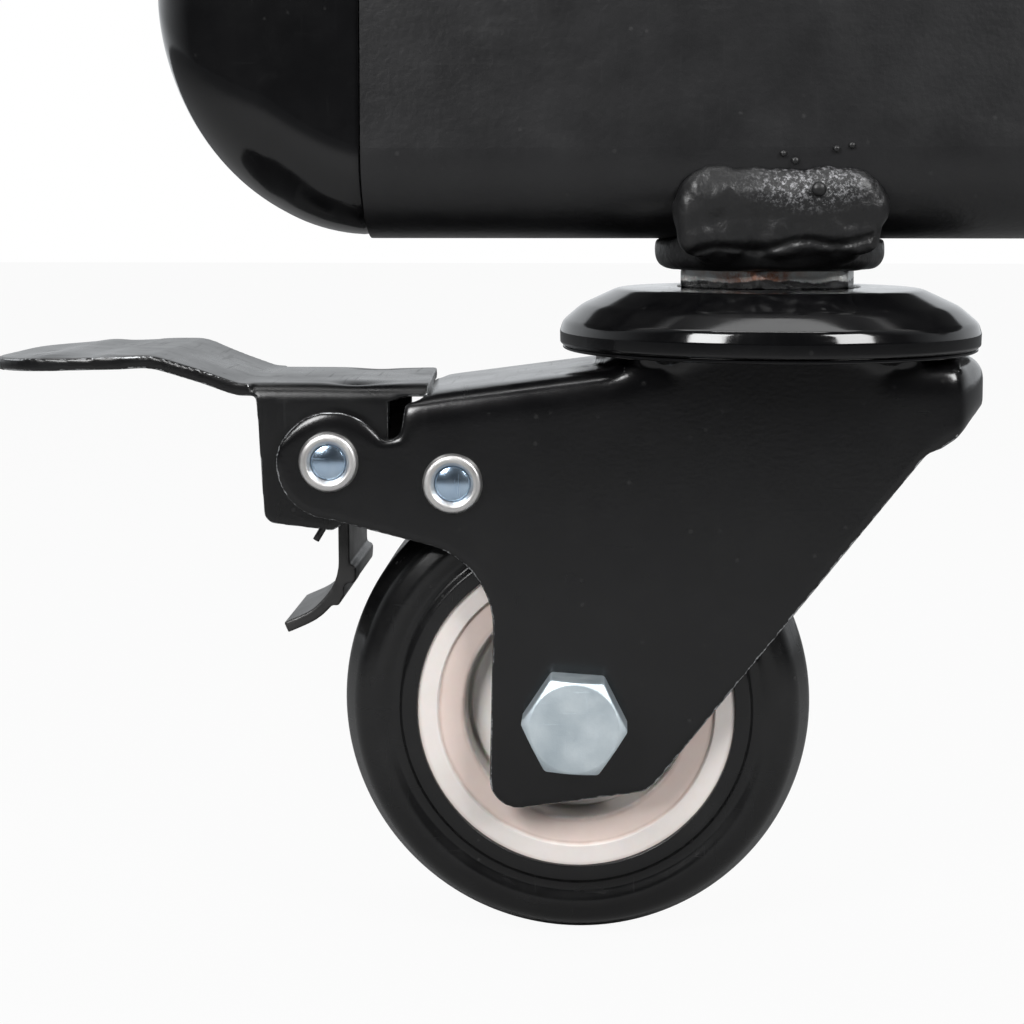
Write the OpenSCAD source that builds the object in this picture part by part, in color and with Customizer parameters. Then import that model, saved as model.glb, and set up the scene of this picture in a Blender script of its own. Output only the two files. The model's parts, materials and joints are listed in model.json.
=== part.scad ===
// Braked swivel caster with its threaded stem, screwed into a bush that is welded
// under the end of a flat-sided frame rail. Millimetres.
// Origin: centre of the rail's open end. +X out of the open end, +Z up, and -Y the side with
// the axle bolt's head. The caster's own pieces are drawn from the point on the floor under
// the swivel axis, in the modules that place() carries to their position.

/* [Frame rail] */
// Height of the rail's section
rail_h = 80; // [60:1:100]
// Width of the rail's section
rail_w = 40; // [38:1:60]
// Outer radius of the section's corners
rail_corner_r = 14; // [10:0.5:17]
// Wall of the rail
rail_wall = 2; // [1.5:0.1:3]
// From the open end to the swivel axis
rail_reach = 75; // [55:1:120]
// From the swivel axis to the capped end
rail_tail = 64; // [45:1:90]

/* [End cap] */
// How far the dome stands out of the rail
cap_dome = 35; // [22:1:38]
// How much smaller the cap's rim is than the rail, each side
cap_inset = 0.6; // [0.2:0.1:1]
// Wall of the moulded cap
cap_wall = 2.4; // [1.8:0.1:3]
// Length of the plug inside the rail
cap_plug = 20; // [12:1:30]
// Gap between the plug and the rail's inner wall
cap_gap = 0.15; // [0.05:0.05:0.3]

/* [Weld bush and stem] */
// Diameter of the weld bush
bush_d = 37; // [32:0.5:38]
// Height of the bush below the rail
bush_drop = 5; // [3:0.5:10]
// Diameter of the stem's thread and of the swivel journal
stem_d = 12; // [10:1:14]
// Length of the stem above the bush's lower face
stem_l = 22; // [18:1:30]
// Width across the flats of the stem's hexagon
stem_hex = 26.6; // [24:0.1:30]
// Thickness of the stem's hexagon
stem_hex_h = 2.8; // [2:0.1:6]

/* [Swivel head] */
// Diameter of the dust cover
cover_d = 67.8; // [66:0.2:72]
// Diameter of the cover's flat top
cover_flat_d = 51; // [46:0.5:54]
// Sheet thickness of the cover
cover_t = 2; // [1.5:0.1:2.5]
// Pitch diameter of the upper ball race
race_d = 42; // [38:0.5:44]
// Diameter of the upper balls
race_ball_d = 6; // [5:0.5:6.5]
// Pitch diameter of the lower ball race
lower_race_d = 24; // [22.5:0.5:26]
// Diameter of the lower balls
lower_ball_d = 4; // [3.5:0.5:4.5]
// Running clearance round every ball
ball_gap = 0.05; // [0.03:0.01:0.08]

/* [Fork] */
// Outer width of the fork
fork_w = 40; // [38:0.5:48]
// Sheet thickness of the fork
fork_t = 2.2; // [1.8:0.1:2.8]
// Outer radius of the fork's long bends
fork_bend = 3.5; // [3:0.1:5]
// Height of the fork's crown above the floor
fork_top = 93.4; // [92:0.2:100]
// Diameter of the round crown
crown_d = 68.4; // [66:0.2:74]
// Distance of the wheel's axle behind the swivel axis
swivel_offset = 30.9; // [29:0.1:33]

/* [Wheel] */
// Diameter of the wheel
wheel_d = 75; // [70:0.5:77]
// Width of the tyre
wheel_w = 31; // [24:0.5:32]
// Diameter at which the tyre meets the core's face
core_d = 50.2; // [47:0.2:54]
// Diameter of the recess in the core's face
recess_d = 35.4; // [33:0.2:38]

/* [Wheel bearings] */
// Bore of the ball bearings, and diameter of the axle sleeve
bearing_bore = 12; // [11.5:0.5:13]
// Outer diameter of the ball bearings
bearing_d = 28; // [27:0.5:30]
// Width of each ball bearing
bearing_w = 8; // [7:0.5:8]

/* [Axle] */
// Diameter of the axle bolt
axle_d = 9.52; // [8:0.02:10]
// Width across the flats of the bolt's head and of the nut
axle_hex = 14.3; // [12:0.1:17]
// Thickness of the bolt's head
axle_head_h = 6; // [4:0.1:7]
// Thickness of the lock nut
axle_nut_h = 8.4; // [7:0.1:10]

/* [Brake] */
// Sheet thickness of the pedal
pedal_t = 2; // [1.6:0.1:2.4]
// Width of the pedal's tread
tread_w = 44; // [38:1:50]
// Distance of the tread's tip from the swivel axis
tread_tip = 124.5; // [115:0.5:135]
// Diameter of the rivets through the fork
rivet_d = 6.4; // [5:0.1:7]
// Diameter of the rivets' rolled heads
rivet_head_d = 9.4; // [8.5:0.1:10]
// Running clearance of the pedal on its rivet
pivot_gap = 0.08; // [0.02:0.01:0.1]
// Width of the brake shoe's blade
shoe_w = 22; // [14:1:26]
// Thickness of the brake shoe's blade
shoe_t = 1.8; // [1.4:0.1:2.4]

/* [Hidden] */
$fn = 64;

// heights above the floor
crown_rise = 3.8; // the crown's raised middle, over its rim
race_gap = race_ball_d - 1;
crown_mid = fork_top + crown_rise;
cover_under = crown_mid + race_gap;
cover_top = cover_under + cover_t;
bush_bottom = cover_top + stem_hex_h;
rail_bottom = bush_bottom + bush_drop;
floor_z = -rail_bottom - rail_h / 2;

// swivel races
crown_r = crown_d / 2;
race_z = crown_mid + race_gap / 2;
lower_gap = lower_ball_d - 0.6;
lower_race_top = crown_mid - fork_t - lower_gap;
lower_race_z = lower_race_top + lower_gap / 2;
lower_race_t = 2.5;
nut_h = 6;
journal_gap = 2; // round the journal, where it passes through the crown
upper_ball_count = 18;
lower_ball_count = 14;

// wheel
axle_z = wheel_d / 2;
tyre_side = 12.4; // height of the tyre's side that its lip, groove and shoulder are drawn for
axle_x = -swivel_offset;
leg_out = fork_w / 2;
leg_in = leg_out - fork_t;
hub_face = 10.6; // outer face of the hub caps, from the middle
cap_t = 1.2;
bearing_y = hub_face - cap_t - 0.2 - bearing_w / 2;
race_ball = 4;
race_pitch = (bearing_bore + bearing_d) / 4;
race_gap_w = race_ball - 0.6;
bearing_ball_count = 9;

// brake
pivot_x = -69.2;
pivot_z = 77.5;
stop_x = -49.9;
stop_z = 74.3;
rivet_r = rivet_d / 2;
rivet_head_h = 1.5;
ear_r = 8.8;
notch_x = -58.2; // the fork's sheet is cut away for the pedal behind this
pedal_out = leg_in - 0.4;
pedal_in = pedal_out - pedal_t;
pedal_top = 89.4;
tread_top = 94;

// the rail's section, as a cutter and as a solid: a square-cornered cross with round corners
module round_rect(w, h, r) {
    square([w - 2 * r, h], center = true);
    square([w, h - 2 * r], center = true);
    for (sx = [-1, 1], sy = [-1, 1])
        translate([sx * (w / 2 - r), sy * (h / 2 - r)]) circle(r);
}

// carries a shape from the caster's own point on the floor to the row's frame
module place() {
    translate([-rail_reach, 0, floor_z]) children();
}

// stands an outline drawn in X and Z up, and gives it a thickness between y1 and y2
module upright(y1, y2) {
    translate([0, y2, 0]) rotate([90, 0, 0]) linear_extrude(y2 - y1) children();
}

// turns a profile of [radius, distance along the axis] about the wheel's axle
module about_axle() {
    translate([axle_x, 0, axle_z]) rotate([90, 0, 0]) rotate_extrude($fn = 96) children();
}

// points of a corner rounded with radius r, between the directions to its two neighbours
function unit(v) = v / norm(v);
function corner(p, a, b, r) = let(
        u = unit(a - p), v = unit(b - p), half = acos(min(1, max(-1, u * v))) / 2,
        reach = r / tan(half), c = p + unit(u + v) * r / sin(half),
        start = p + u * reach - c, end = p + v * reach - c,
        a0 = atan2(start[1], start[0]), turn = atan2(end[1], end[0]) - a0,
        sweep = turn > 180 ? turn - 360 : turn < -180 ? turn + 360 : turn,
        steps = max(2, ceil(abs(sweep) / 9)))
    [for (i = [0:steps]) c + r * [cos(a0 + sweep * i / steps), sin(a0 + sweep * i / steps)]];
// an outline of [x, y, corner radius] with its corners rounded
function rounded(pts) = let(n = len(pts)) [for (i = [0:n - 1])
    let(p = [pts[i][0], pts[i][1]], a = pts[(i + n - 1) % n], b = pts[(i + 1) % n])
    each pts[i][2] > 0 ? corner(p, [a[0], a[1]], [b[0], b[1]], pts[i][2]) : [p]];
// a bent strip of thickness t along the middle line pts, which has a radius at each bend
function strip(pts, t) = let(n = len(pts),
        dirs = [for (i = [0:n - 2]) unit([pts[i + 1][0] - pts[i][0], pts[i + 1][1] - pts[i][1]])],
        side = function(i, s) let(
            d0 = dirs[max(0, i - 1)], d1 = dirs[min(n - 2, i)],
            m = unit([-d0[1] - d1[1], d0[0] + d1[0]]), k = m * [-d0[1], d0[0]],
            turn = d0[0] * d1[1] - d0[1] * d1[0])
            [pts[i][0] + s * t / 2 / k * m[0], pts[i][1] + s * t / 2 / k * m[1],
                pts[i][2] > 0 ? max(0.05, pts[i][2] - sign(turn) * s * t / 2) : 0])
    rounded(concat([for (i = [0:n - 1]) side(i, 1)], [for (i = [n - 1:-1:0]) side(i, -1)]));

module ring_of_balls(count, pitch_r, ball_r) {
    for (i = [0:count - 1])
        rotate([0, 0, 360 * i / count]) translate([pitch_r, 0, 0]) sphere(ball_r);
}

// ---- rail ----

module frame_rail() {
    color("#1c1c1e") difference() {
        rotate([0, -90, 0]) rotate([0, 0, 90]) linear_extrude(rail_reach + rail_tail)
            round_rect(rail_w, rail_h, rail_corner_r);
        translate([1, 0, 0]) rotate([0, -90, 0]) rotate([0, 0, 90])
            linear_extrude(rail_reach + rail_tail + 2)
            round_rect(rail_w - 2 * rail_wall, rail_h - 2 * rail_wall, rail_corner_r - rail_wall);
        translate([-rail_reach, 0, -rail_h / 2 - 1]) cylinder(h = rail_wall + 2, d = stem_d + 0.6);
    }
}

// slice of the dome at depth u, from 0 at the rim to 1 at the nose; its corners grow rounder
module dome_slice(u, w, h, depth) {
    k = sqrt(1 - u * u);
    flat = pow(1 - pow(u, 2.6), 1 / 2.6);
    side = min(w * flat, h * k) / 2 - 0.1;
    corner_r = min(side, rail_corner_r - cap_inset + (w / 2 - rail_corner_r) * 2 * u);
    translate([-depth * u, 0, 0]) rotate([0, -90, 0]) rotate([0, 0, 90]) linear_extrude(0.01)
        round_rect(w * flat, h * k, corner_r, $fn = 28);
}
module dome(w, h, depth) {
    hull() for (u = [0, 0.2, 0.4, 0.58, 0.74, 0.87, 0.96, 0.995]) dome_slice(u, w, h, depth);
}
module end_cap() {
    seam = 0.3;
    rim_w = rail_w - 2 * cap_inset;
    rim_h = rail_h - 2 * cap_inset;
    plug_w = rail_w - 2 * rail_wall - 2 * cap_gap;
    plug_h = rail_h - 2 * rail_wall - 2 * cap_gap;
    plug_r = rail_corner_r - rail_wall - cap_gap;
    color("#0c0c0d") translate([-rail_reach - rail_tail, 0, 0]) {
        translate([-seam, 0, 0]) difference() {
            dome(rim_w, rim_h, cap_dome);
            translate([0.5, 0, 0])
                dome(rim_w - 2 * cap_wall, rim_h - 2 * cap_wall, cap_dome - cap_wall);
        }
        difference() {
            translate([cap_plug, 0, 0]) rotate([0, -90, 0]) rotate([0, 0, 90])
                linear_extrude(cap_plug + seam + 2) round_rect(plug_w, plug_h, plug_r);
            translate([cap_plug + 1, 0, 0]) rotate([0, -90, 0]) rotate([0, 0, 90])
                linear_extrude(cap_plug + seam + 4)
                round_rect(plug_w - 2 * cap_wall, plug_h - 2 * cap_wall, plug_r - cap_wall);
        }
    }
}

module rail_block(grow = 0) {
    rotate([0, -90, 0]) rotate([0, 0, 90]) linear_extrude(rail_reach + rail_tail)
        round_rect(rail_w + 2 * grow, rail_h + 2 * grow, rail_corner_r + grow);
}
module bush_body(grow = 0) {
    place() rotate_extrude() polygon(rounded([
        [0, bush_bottom - grow, 0], [bush_d / 2 + grow, bush_bottom - grow, 2.4],
        [bush_d / 2 + grow, rail_bottom + rail_corner_r, 0], [0, rail_bottom + rail_corner_r, 0]]));
}
module weld_bush() {
    color("#17171a") difference() {
        bush_body();
        rail_block();
        place() translate([0, 0, bush_bottom - 1]) cylinder(h = 40, d = stem_d);
    }
}
module bush_welds() {
    bead = 4.4;
    color("#1b1b1d") difference() {
        for (s = [-1, 1]) place() hull() for (x = [-11.4, 0, 11.4]) {
            translate([x, s * (rail_w / 2 - 2.4), rail_bottom + 7]) sphere(bead, $fn = 24);
            translate([x * 0.9, s * (bush_d / 2 - 2.6), rail_bottom - 0.4]) sphere(bead - 1, $fn = 24);
        }
        rail_block();
        bush_body();
    }
}

// ---- swivel head ----

module threaded_stem() {
    chamfer = 1;
    color("#8f8a84") place() {
        translate([0, 0, bush_bottom]) cylinder(h = stem_l - chamfer, d = stem_d);
        translate([0, 0, bush_bottom + stem_l - chamfer])
            cylinder(h = chamfer, d1 = stem_d, d2 = stem_d - 2 * chamfer);
        translate([0, 0, cover_top]) rotate([0, 0, 19.4])
            cylinder(h = stem_hex_h, d = stem_hex / cos(30), $fn = 6);
        translate([0, 0, lower_race_top - lower_race_t - nut_h - 1])
            cylinder(h = cover_top - lower_race_top + lower_race_t + nut_h + 1, d = stem_d);
    }
}
// groove of a ball race, as a cutter
module race_groove(pitch_d, ball_d, z) {
    translate([0, 0, z]) rotate_extrude() translate([pitch_d / 2, 0])
        circle(ball_d / 2 + ball_gap);
}
module dust_cover() {
    rim_z = cover_top - (cover_d - cover_flat_d) / 2 * 0.86;
    skirt = 2.4;
    color("#0d0d0f") place() difference() {
        rotate_extrude($fn = 96) polygon(rounded([
            [stem_d / 2, cover_top, 0], [cover_flat_d / 2, cover_top, 3.2],
            [cover_d / 2, rim_z, 1.1], [cover_d / 2, rim_z - skirt, 0.5],
            [cover_d / 2 - cover_t, rim_z - skirt, 0.5], [cover_d / 2 - cover_t, rim_z - 0.9, 0.6],
            [cover_flat_d / 2 - 0.8, cover_under, 1.6], [stem_d / 2, cover_under, 0]]));
        race_groove(race_d, race_ball_d, race_z);
    }
}
module dust_ring() {
    rim_z = cover_top - (cover_d - cover_flat_d) / 2 * 0.86 - 2.4;
    color("#101012") place() rotate_extrude($fn = 96) polygon(rounded([
        [cover_d / 2 - cover_t - 1.4, fork_top + 0.6, 0.3], [cover_d / 2 - 0.5, fork_top + 0.6, 0.5],
        [cover_d / 2 - 0.5, rim_z - 0.05, 0.3], [cover_d / 2 - cover_t - 0.05, rim_z - 0.05, 0],
        [cover_d / 2 - cover_t - 0.05, rim_z + 1, 0.2], [cover_d / 2 - cover_t - 1.4, rim_z + 1, 0.2]]));
}
module lower_race() {
    color("#77746f") place() difference() {
        translate([0, 0, lower_race_top - lower_race_t])
            cylinder(h = lower_race_t, d = lower_race_d + 10);
        translate([0, 0, lower_race_top - lower_race_t - 1])
            cylinder(h = lower_race_t + 2, d = stem_d);
        race_groove(lower_race_d, lower_ball_d, lower_race_z);
    }
}
module swivel_nut() {
    color("#8c8a86") place() translate([0, 0, lower_race_top - lower_race_t - nut_h]) difference() {
        intersection() {
            cylinder(h = nut_h, d = 19 / cos(30), $fn = 6);
            translate([0, 0, -6]) cylinder(h = nut_h + 6, d1 = 17.6, d2 = 27);
        }
        translate([0, 0, -1]) cylinder(h = nut_h + 2, d = stem_d);
    }
}
module upper_balls() {
    color("#c9cbce") place() translate([0, 0, race_z])
        ring_of_balls(upper_ball_count, race_d / 2, race_ball_d / 2);
}
module lower_balls() {
    color("#c9cbce") place() translate([0, 0, lower_race_z])
        ring_of_balls(lower_ball_count, lower_race_d / 2, lower_ball_d / 2);
}

// ---- fork ----

// side of the legs and of the arm that carries the pedal, up past the crown
leg_outline = rounded([
    [notch_x, 104, 0], [notch_x, 81.3, 0.8], [notch_x - 3.2, 80.9, 1.6], [pivot_x + 4.4, pivot_z + 6.9, 0],
    [pivot_x, pivot_z, 0], [pivot_x - 1.9, pivot_z - ear_r + 0.1, 0], [axle_x - 12.6, 61.9, 13.3],
    [axle_x - 13.5, axle_z - 15.3, 4.5], [axle_x + 11.6, axle_z - 11.5, 5], [22.8, 79.3, 2],
    [25.6, 80.4, 1.2], [28.6, 85, 0], [28.6, 104, 0]]);
// the U-shaped section of the bent sheet, with its top at z = 0
module channel_section(w, inset) {
    r = fork_bend - inset;
    depth = 100;
    translate([-w, -depth]) square([2 * w, depth - r]);
    translate([-(w - r), -r - 1]) square([2 * (w - r), r + 1]);
    for (s = [-1, 1]) translate([s * (w - r), -r]) circle(r);
}
// a length of the bent sheet between x1 and x2, whose top line runs from z1 to z2
module channel(x1, x2, z1, z2, w, inset) {
    run = norm([x2 - x1, z2 - z1]);
    translate([x1, 0, z1]) rotate([0, -atan2(z2 - z1, x2 - x1), 0]) rotate([90, 0, 90])
        translate([0, -inset]) linear_extrude(run) channel_section(w, inset);
}
// the arm's length of the sheet, which slopes up to the crown; its sides are trimmed upright
module arm_channel(x2, w, inset) {
    slope = 0.134;
    spare = 0.05;
    x1 = notch_x - 6;
    z2 = fork_top - 1.1;
    intersection() {
        channel(x1, x2, z2 - slope * (x2 - x1), z2, w + spare, inset);
        upright(-w, w) polygon([[notch_x - 1, 0], [x2 + 1, 0], [x2 + 1, 110], [notch_x - 1, 110]]);
    }
}
// ears as flat plates, then the arm and the crown's rim as one bent sheet
module fork_sides() {
    join_x = axle_x + 7; // the arm's sloping top meets the flat crown here
    web_gap = 2.8; // room for the pedal's end in front of the web
    intersection() {
        union() {
            upright(-leg_out, leg_out) polygon(leg_outline);
            upright(-leg_out, leg_out) translate([pivot_x + 0.4, pivot_z - 0.4]) circle(ear_r);
        }
        difference() {
            union() {
                translate([-100, -leg_out, 0]) cube([99.6 + notch_x, 2 * leg_out, 120]);
                arm_channel(join_x + 1, leg_out, 0);
                channel(join_x, 40, fork_top, fork_top, leg_out, 0);
            }
            union() {
                translate([-101, -leg_in, 0]) cube([101 + notch_x + web_gap, 2 * leg_in, 120]);
                arm_channel(join_x + 1.2, leg_in, fork_t);
                channel(join_x, 41, fork_top, fork_top, leg_in, fork_t);
            }
        }
        union() {
            translate([-100, -50, 0]) cube([100, 100, 120]);
            cylinder(h = 120, r = crown_r - 0.4, $fn = 96);
        }
    }
}
// the legs' tops, up to the underside of the crown's raised middle
module leg_tops() {
    foot = fork_top - fork_bend - 1;
    intersection() {
        translate([0, 0, foot]) cylinder(h = crown_mid - 1.2 - foot, d = race_d + 9);
        for (y = [-leg_out, leg_in]) translate([-50, y, 0]) cube([100, fork_t, 120]);
    }
}
// the round crown: raised middle with the races, and a skirt round its back
module crown() {
    intersection() {
        rotate_extrude($fn = 96) polygon(rounded([
            [0, crown_mid, 0], [race_d / 2 + 5.6, crown_mid, 1.5], [race_d / 2 + 8.2, fork_top, 1.5],
            [crown_r, fork_top, 3.5], [crown_r, 70, 0], [crown_r - fork_t, 70, 0],
            [crown_r - fork_t, fork_top - fork_t, 1.3], [race_d / 2 + 6.4, fork_top - fork_t, 1.5],
            [race_d / 2 + 4, crown_mid - fork_t, 1.5], [0, crown_mid - fork_t, 0]]));
        union() {
            translate([-24, -leg_out, fork_top - fork_t]) cube([60, 2 * leg_out, 20]);
            upright(-leg_out, leg_out)
                polygon([[24.4, 79.9], [26.4, 80.9], [crown_r + 2, 88], [crown_r + 2, 96], [24.4, 96]]);
            translate([0, 0, fork_top - fork_t]) cylinder(h = 20, d = race_d + 14);
        }
        union() {
            channel(-30, 40, fork_top, fork_top, leg_out, 0);
            translate([0, 0, fork_top - 0.2]) cylinder(h = 20, d = race_d + 16.4);
        }
    }
}
module fork() {
    color("#131315") place() difference() {
        union() {
            difference() {
                fork_sides();
                translate([0, 0, fork_top - fork_t - 0.5]) intersection() {
                    cylinder(h = 20, d = race_d + 13.4);
                    translate([-50, -leg_in, 0]) cube([100, 2 * leg_in, 20]);
                }
            }
            leg_tops();
            crown();
        }
        race_groove(race_d, race_ball_d, race_z);
        race_groove(lower_race_d, lower_ball_d, lower_race_z);
        cylinder(h = 120, d = stem_d + 2 * journal_gap);
        for (hole = [[pivot_x, pivot_z, rivet_d], [stop_x, stop_z, rivet_d], [axle_x, axle_z, axle_d]])
            translate([hole[0], 0, hole[1]]) rotate([90, 0, 0])
                cylinder(h = fork_w + 2, d = hole[2], center = true);
    }
}

// ---- axle and wheel ----

// hexagon along Y with chamfered corners on its outer face, standing from y = 0 to h
module hex_head(h) {
    rotate([-90, 0, 0]) intersection() {
        rotate([0, 0, -3.4]) cylinder(h = h, d = axle_hex / cos(30), $fn = 6);
        cylinder(h = h, d1 = axle_hex / cos(30) + h * 3, d2 = axle_hex * 0.97);
    }
}
module axle_bolt() {
    color("#b9c2c9") place() translate([axle_x, 0, axle_z]) {
        translate([0, -leg_out, 0]) mirror([0, 1, 0]) hex_head(axle_head_h);
        translate([0, leg_out + axle_nut_h + 1.2, 0]) rotate([90, 0, 0])
            cylinder(h = fork_w + axle_nut_h + 1.2, d = axle_d);
    }
}
module axle_nut() {
    collar = 2;
    color("#b9c2c9") place() translate([axle_x, leg_out, axle_z]) difference() {
        union() {
            hex_head(axle_nut_h - collar);
            rotate([-90, 0, 0]) cylinder(h = axle_nut_h, d = axle_hex * 0.86);
        }
        rotate([-90, 0, 0]) translate([0, 0, -1]) cylinder(h = axle_nut_h + 2, d = axle_d);
    }
}
module axle_sleeve() {
    color("#9a9ca0") place() translate([axle_x, leg_in, axle_z]) rotate([90, 0, 0]) difference() {
        cylinder(h = 2 * leg_in, d = bearing_bore);
        translate([0, 0, -1]) cylinder(h = 2 * leg_in + 2, d = axle_d + 0.2);
    }
}
// one ring of each bearing, from radius r1 to r2, with its ball track
module bearing_ring(r1, r2) {
    for (s = [-1, 1]) about_axle() difference() {
        translate([r1, s * bearing_y - bearing_w / 2]) square([r2 - r1, bearing_w]);
        translate([race_pitch, s * bearing_y]) circle(race_ball / 2 + ball_gap);
    }
}
module bearing_inner_rings() {
    color("#a9acb0") place() bearing_ring(bearing_bore / 2, race_pitch - race_gap_w / 2);
}
module bearing_outer_rings() {
    color("#a9acb0") place() bearing_ring(race_pitch + race_gap_w / 2, bearing_d / 2);
}
module bearing_balls() {
    color("#cfd2d5") place() translate([axle_x, 0, axle_z]) for (s = [-1, 1])
        translate([0, s * bearing_y, 0]) rotate([90, 0, 0])
            ring_of_balls(bearing_ball_count, race_pitch, race_ball / 2);
}
// outline of the tyre's inside, which is the core's outside, from one face to the other
function bond_line(s) = [[core_d / 2, s * wheel_w / 2 * 0.97, 0], [core_d / 2 + 1.6, s * wheel_w / 2 * 0.72, 1]];
module wheel_core() {
    face = wheel_w / 2 * 0.97;
    seat = bearing_y + bearing_w / 2;
    step_r = core_d / 2 - 3.4;
    color("#e9e2dc") place() about_axle() polygon(rounded([
        [bearing_d / 2, -seat, 0], [recess_d / 2 - 0.4, -seat, 0.4], [recess_d / 2, -face + 0.7, 0.5],
        [step_r, -face + 0.45, 0.3], [step_r + 0.4, -face, 0.2],
        each bond_line(-1), [bond_line(1)[1][0], bond_line(1)[1][1], 1], bond_line(1)[0],
        [step_r + 0.4, face, 0.2], [step_r, face - 0.45, 0.3], [recess_d / 2, face - 0.7, 0.5],
        [recess_d / 2 - 0.4, seat, 0.4], [bearing_d / 2, seat, 0],
        [bearing_d / 2, bearing_y - bearing_w / 2, 0], [bearing_d / 2 - 1.6, bearing_y - bearing_w / 2, 0],
        [bearing_d / 2 - 1.6, -bearing_y + bearing_w / 2, 0], [bearing_d / 2, -bearing_y + bearing_w / 2, 0]]));
}
module tyre() {
    half = wheel_w / 2;
    r = wheel_d / 2;
    inner = core_d / 2;
    // the lip, groove and shoulder grow and shrink with the height of the tyre's side
    k = (r - inner) / tyre_side;
    color("#0e0e10") place() about_axle() polygon(rounded([
        [inner, -half * 0.97, 0], [inner + 0.2 * k, -half, 0.15 * k], [inner + 2.3 * k, -half, 0.5 * k],
        [inner + 3 * k, -half + 0.8, 0.8 * k], [inner + 4.4 * k, -half + 0.9, 1.4 * k],
        [inner + 6.2 * k, -half, 3.2 * k], [r - 2.6 * k, -half + 1.4, 4 * k], [r, -half + 6.4, 5 * k],
        [r, half - 6.4, 5 * k], [r - 2.6 * k, half - 1.4, 4 * k], [inner + 6.2 * k, half, 3.2 * k],
        [inner + 4.4 * k, half - 0.9, 1.4 * k], [inner + 3 * k, half - 0.8, 0.8 * k],
        [inner + 2.3 * k, half, 0.5 * k], [inner + 0.2 * k, half, 0.15 * k],
        bond_line(1)[0], bond_line(1)[1], bond_line(-1)[1]]));
}
module hub_caps() {
    color("#e6e1da") place() for (s = [-1, 1]) about_axle() polygon(rounded([
        [bearing_bore / 2 + 0.8, s * (hub_face - cap_t), 0], [recess_d / 2 - 0.9, s * (hub_face - cap_t), 0],
        [recess_d / 2 - 0.9, s * hub_face, 0.4], [bearing_bore / 2 + 3, s * hub_face, 0.6],
        [bearing_bore / 2 + 2.4, s * (hub_face + 0.8), 0.3], [bearing_bore / 2 + 0.8, s * (hub_face + 0.8), 0.2]]));
}

// ---- brake ----

// a tubular rivet across the fork with a rolled head at each end
module rivet(x, z) {
    bore_r = rivet_r * 0.75;
    head_r = rivet_head_d / 2;
    face = leg_out + rivet_head_h;
    place() translate([x, 0, z]) rotate([90, 0, 0]) rotate_extrude() polygon(rounded([
        [bore_r, -leg_out - 0.5, 0], [bore_r + 0.55, -face, 0.3], [head_r, -face, 0.7],
        [head_r, -leg_out, 0.6], [rivet_r, -leg_out, 0], [rivet_r, leg_out, 0],
        [head_r, leg_out, 0.6], [head_r, face, 0.7], [bore_r + 0.55, face, 0.3],
        [bore_r, leg_out + 0.5, 0]]));
}
// the pin inside it, with a domed end
module rivet_pin(x, z) {
    r = rivet_r * 0.75;
    place() translate([x, 0, z]) rotate([90, 0, 0]) {
        cylinder(h = 2 * leg_out, r = r, center = true);
        for (s = [-1, 1]) intersection() {
            translate([0, 0, s * (leg_out - 2.6)]) sphere(3.5);
            translate([0, 0, s * (leg_out + 0.9)]) cylinder(h = 2, r = r - 0.15, center = true);
        }
    }
}
module pivot_rivet() {
    color("#c3c5c8") rivet(pivot_x, pivot_z);
}
module pivot_core() {
    color("#9fb4d6") rivet_pin(pivot_x, pivot_z);
}
module stop_rivet() {
    color("#c3c5c8") rivet(stop_x, stop_z);
}
module stop_core() {
    color("#9fb4d6") rivet_pin(stop_x, stop_z);
}
// a spacer on each side of the tyre, between it and the fork's leg
module stop_spacers() {
    start = wheel_w / 2 + 0.6;
    color("#8d9094") place() for (y = [-leg_in, start]) translate([stop_x, y + leg_in - start, stop_z])
        rotate([90, 0, 0]) difference() {
            cylinder(h = leg_in - start, d = rivet_d + 3.2);
            translate([0, 0, -1]) cylinder(h = leg_in - start + 2, d = rivet_d);
        }
}
// plan of the tread: as wide as the pedal's box at its root, wider and round-cornered at its tip
tread_plan = rounded([
    [-80, -pedal_out, 0], [-90, -pedal_out, 12], [-101, -tread_w / 2, 12], [-tread_tip, -tread_w / 2 + 2, 13],
    [-tread_tip, tread_w / 2 - 2, 13], [-101, tread_w / 2, 12], [-90, pedal_out, 12], [-80, pedal_out, 0],
    [-58, pedal_out, 0.6], [-56, -pedal_out, 0.6]]);
// side of the bent sheet that makes the tread and the pedal's top
pedal_line = [[-50, pedal_top - pedal_t / 2, 0], [-84, pedal_top - pedal_t / 2, 7],
    [-97, tread_top - pedal_t / 2, 9], [-tread_tip - 8, tread_top - 1.2 - pedal_t / 2, 0]];
flange_outline = rounded([
    [-82.4, pedal_top + 4, 0], [-81, 86, 0], [-79.9, 67.4, 2], [pivot_x, 66.2, 0], [-62.5, 70, 4],
    [-60.2, 80, 1], [-60.2, pedal_top + 4, 0]]);
module brake_pedal() {
    bend = 2.8;
    color("#121214") place() difference() {
        union() {
            intersection() {
                upright(-40, 40) polygon(strip(pedal_line, pedal_t));
                linear_extrude(120) polygon(tread_plan);
                union() {
                    translate([-200, -50, 0]) cube([200 - 82, 100, 120]);
                    pedal_box(pedal_out, pedal_top, bend);
                }
            }
            difference() {
                intersection() {
                    upright(-pedal_out, pedal_out) polygon(flange_outline);
                    pedal_box(pedal_out, pedal_top, bend);
                }
                pedal_box(pedal_in, pedal_top - pedal_t, bend - pedal_t);
            }
        }
        translate([pivot_x, 0, pivot_z]) rotate([90, 0, 0])
            cylinder(h = fork_w, r = rivet_r + pivot_gap, center = true);
    }
}
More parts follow.
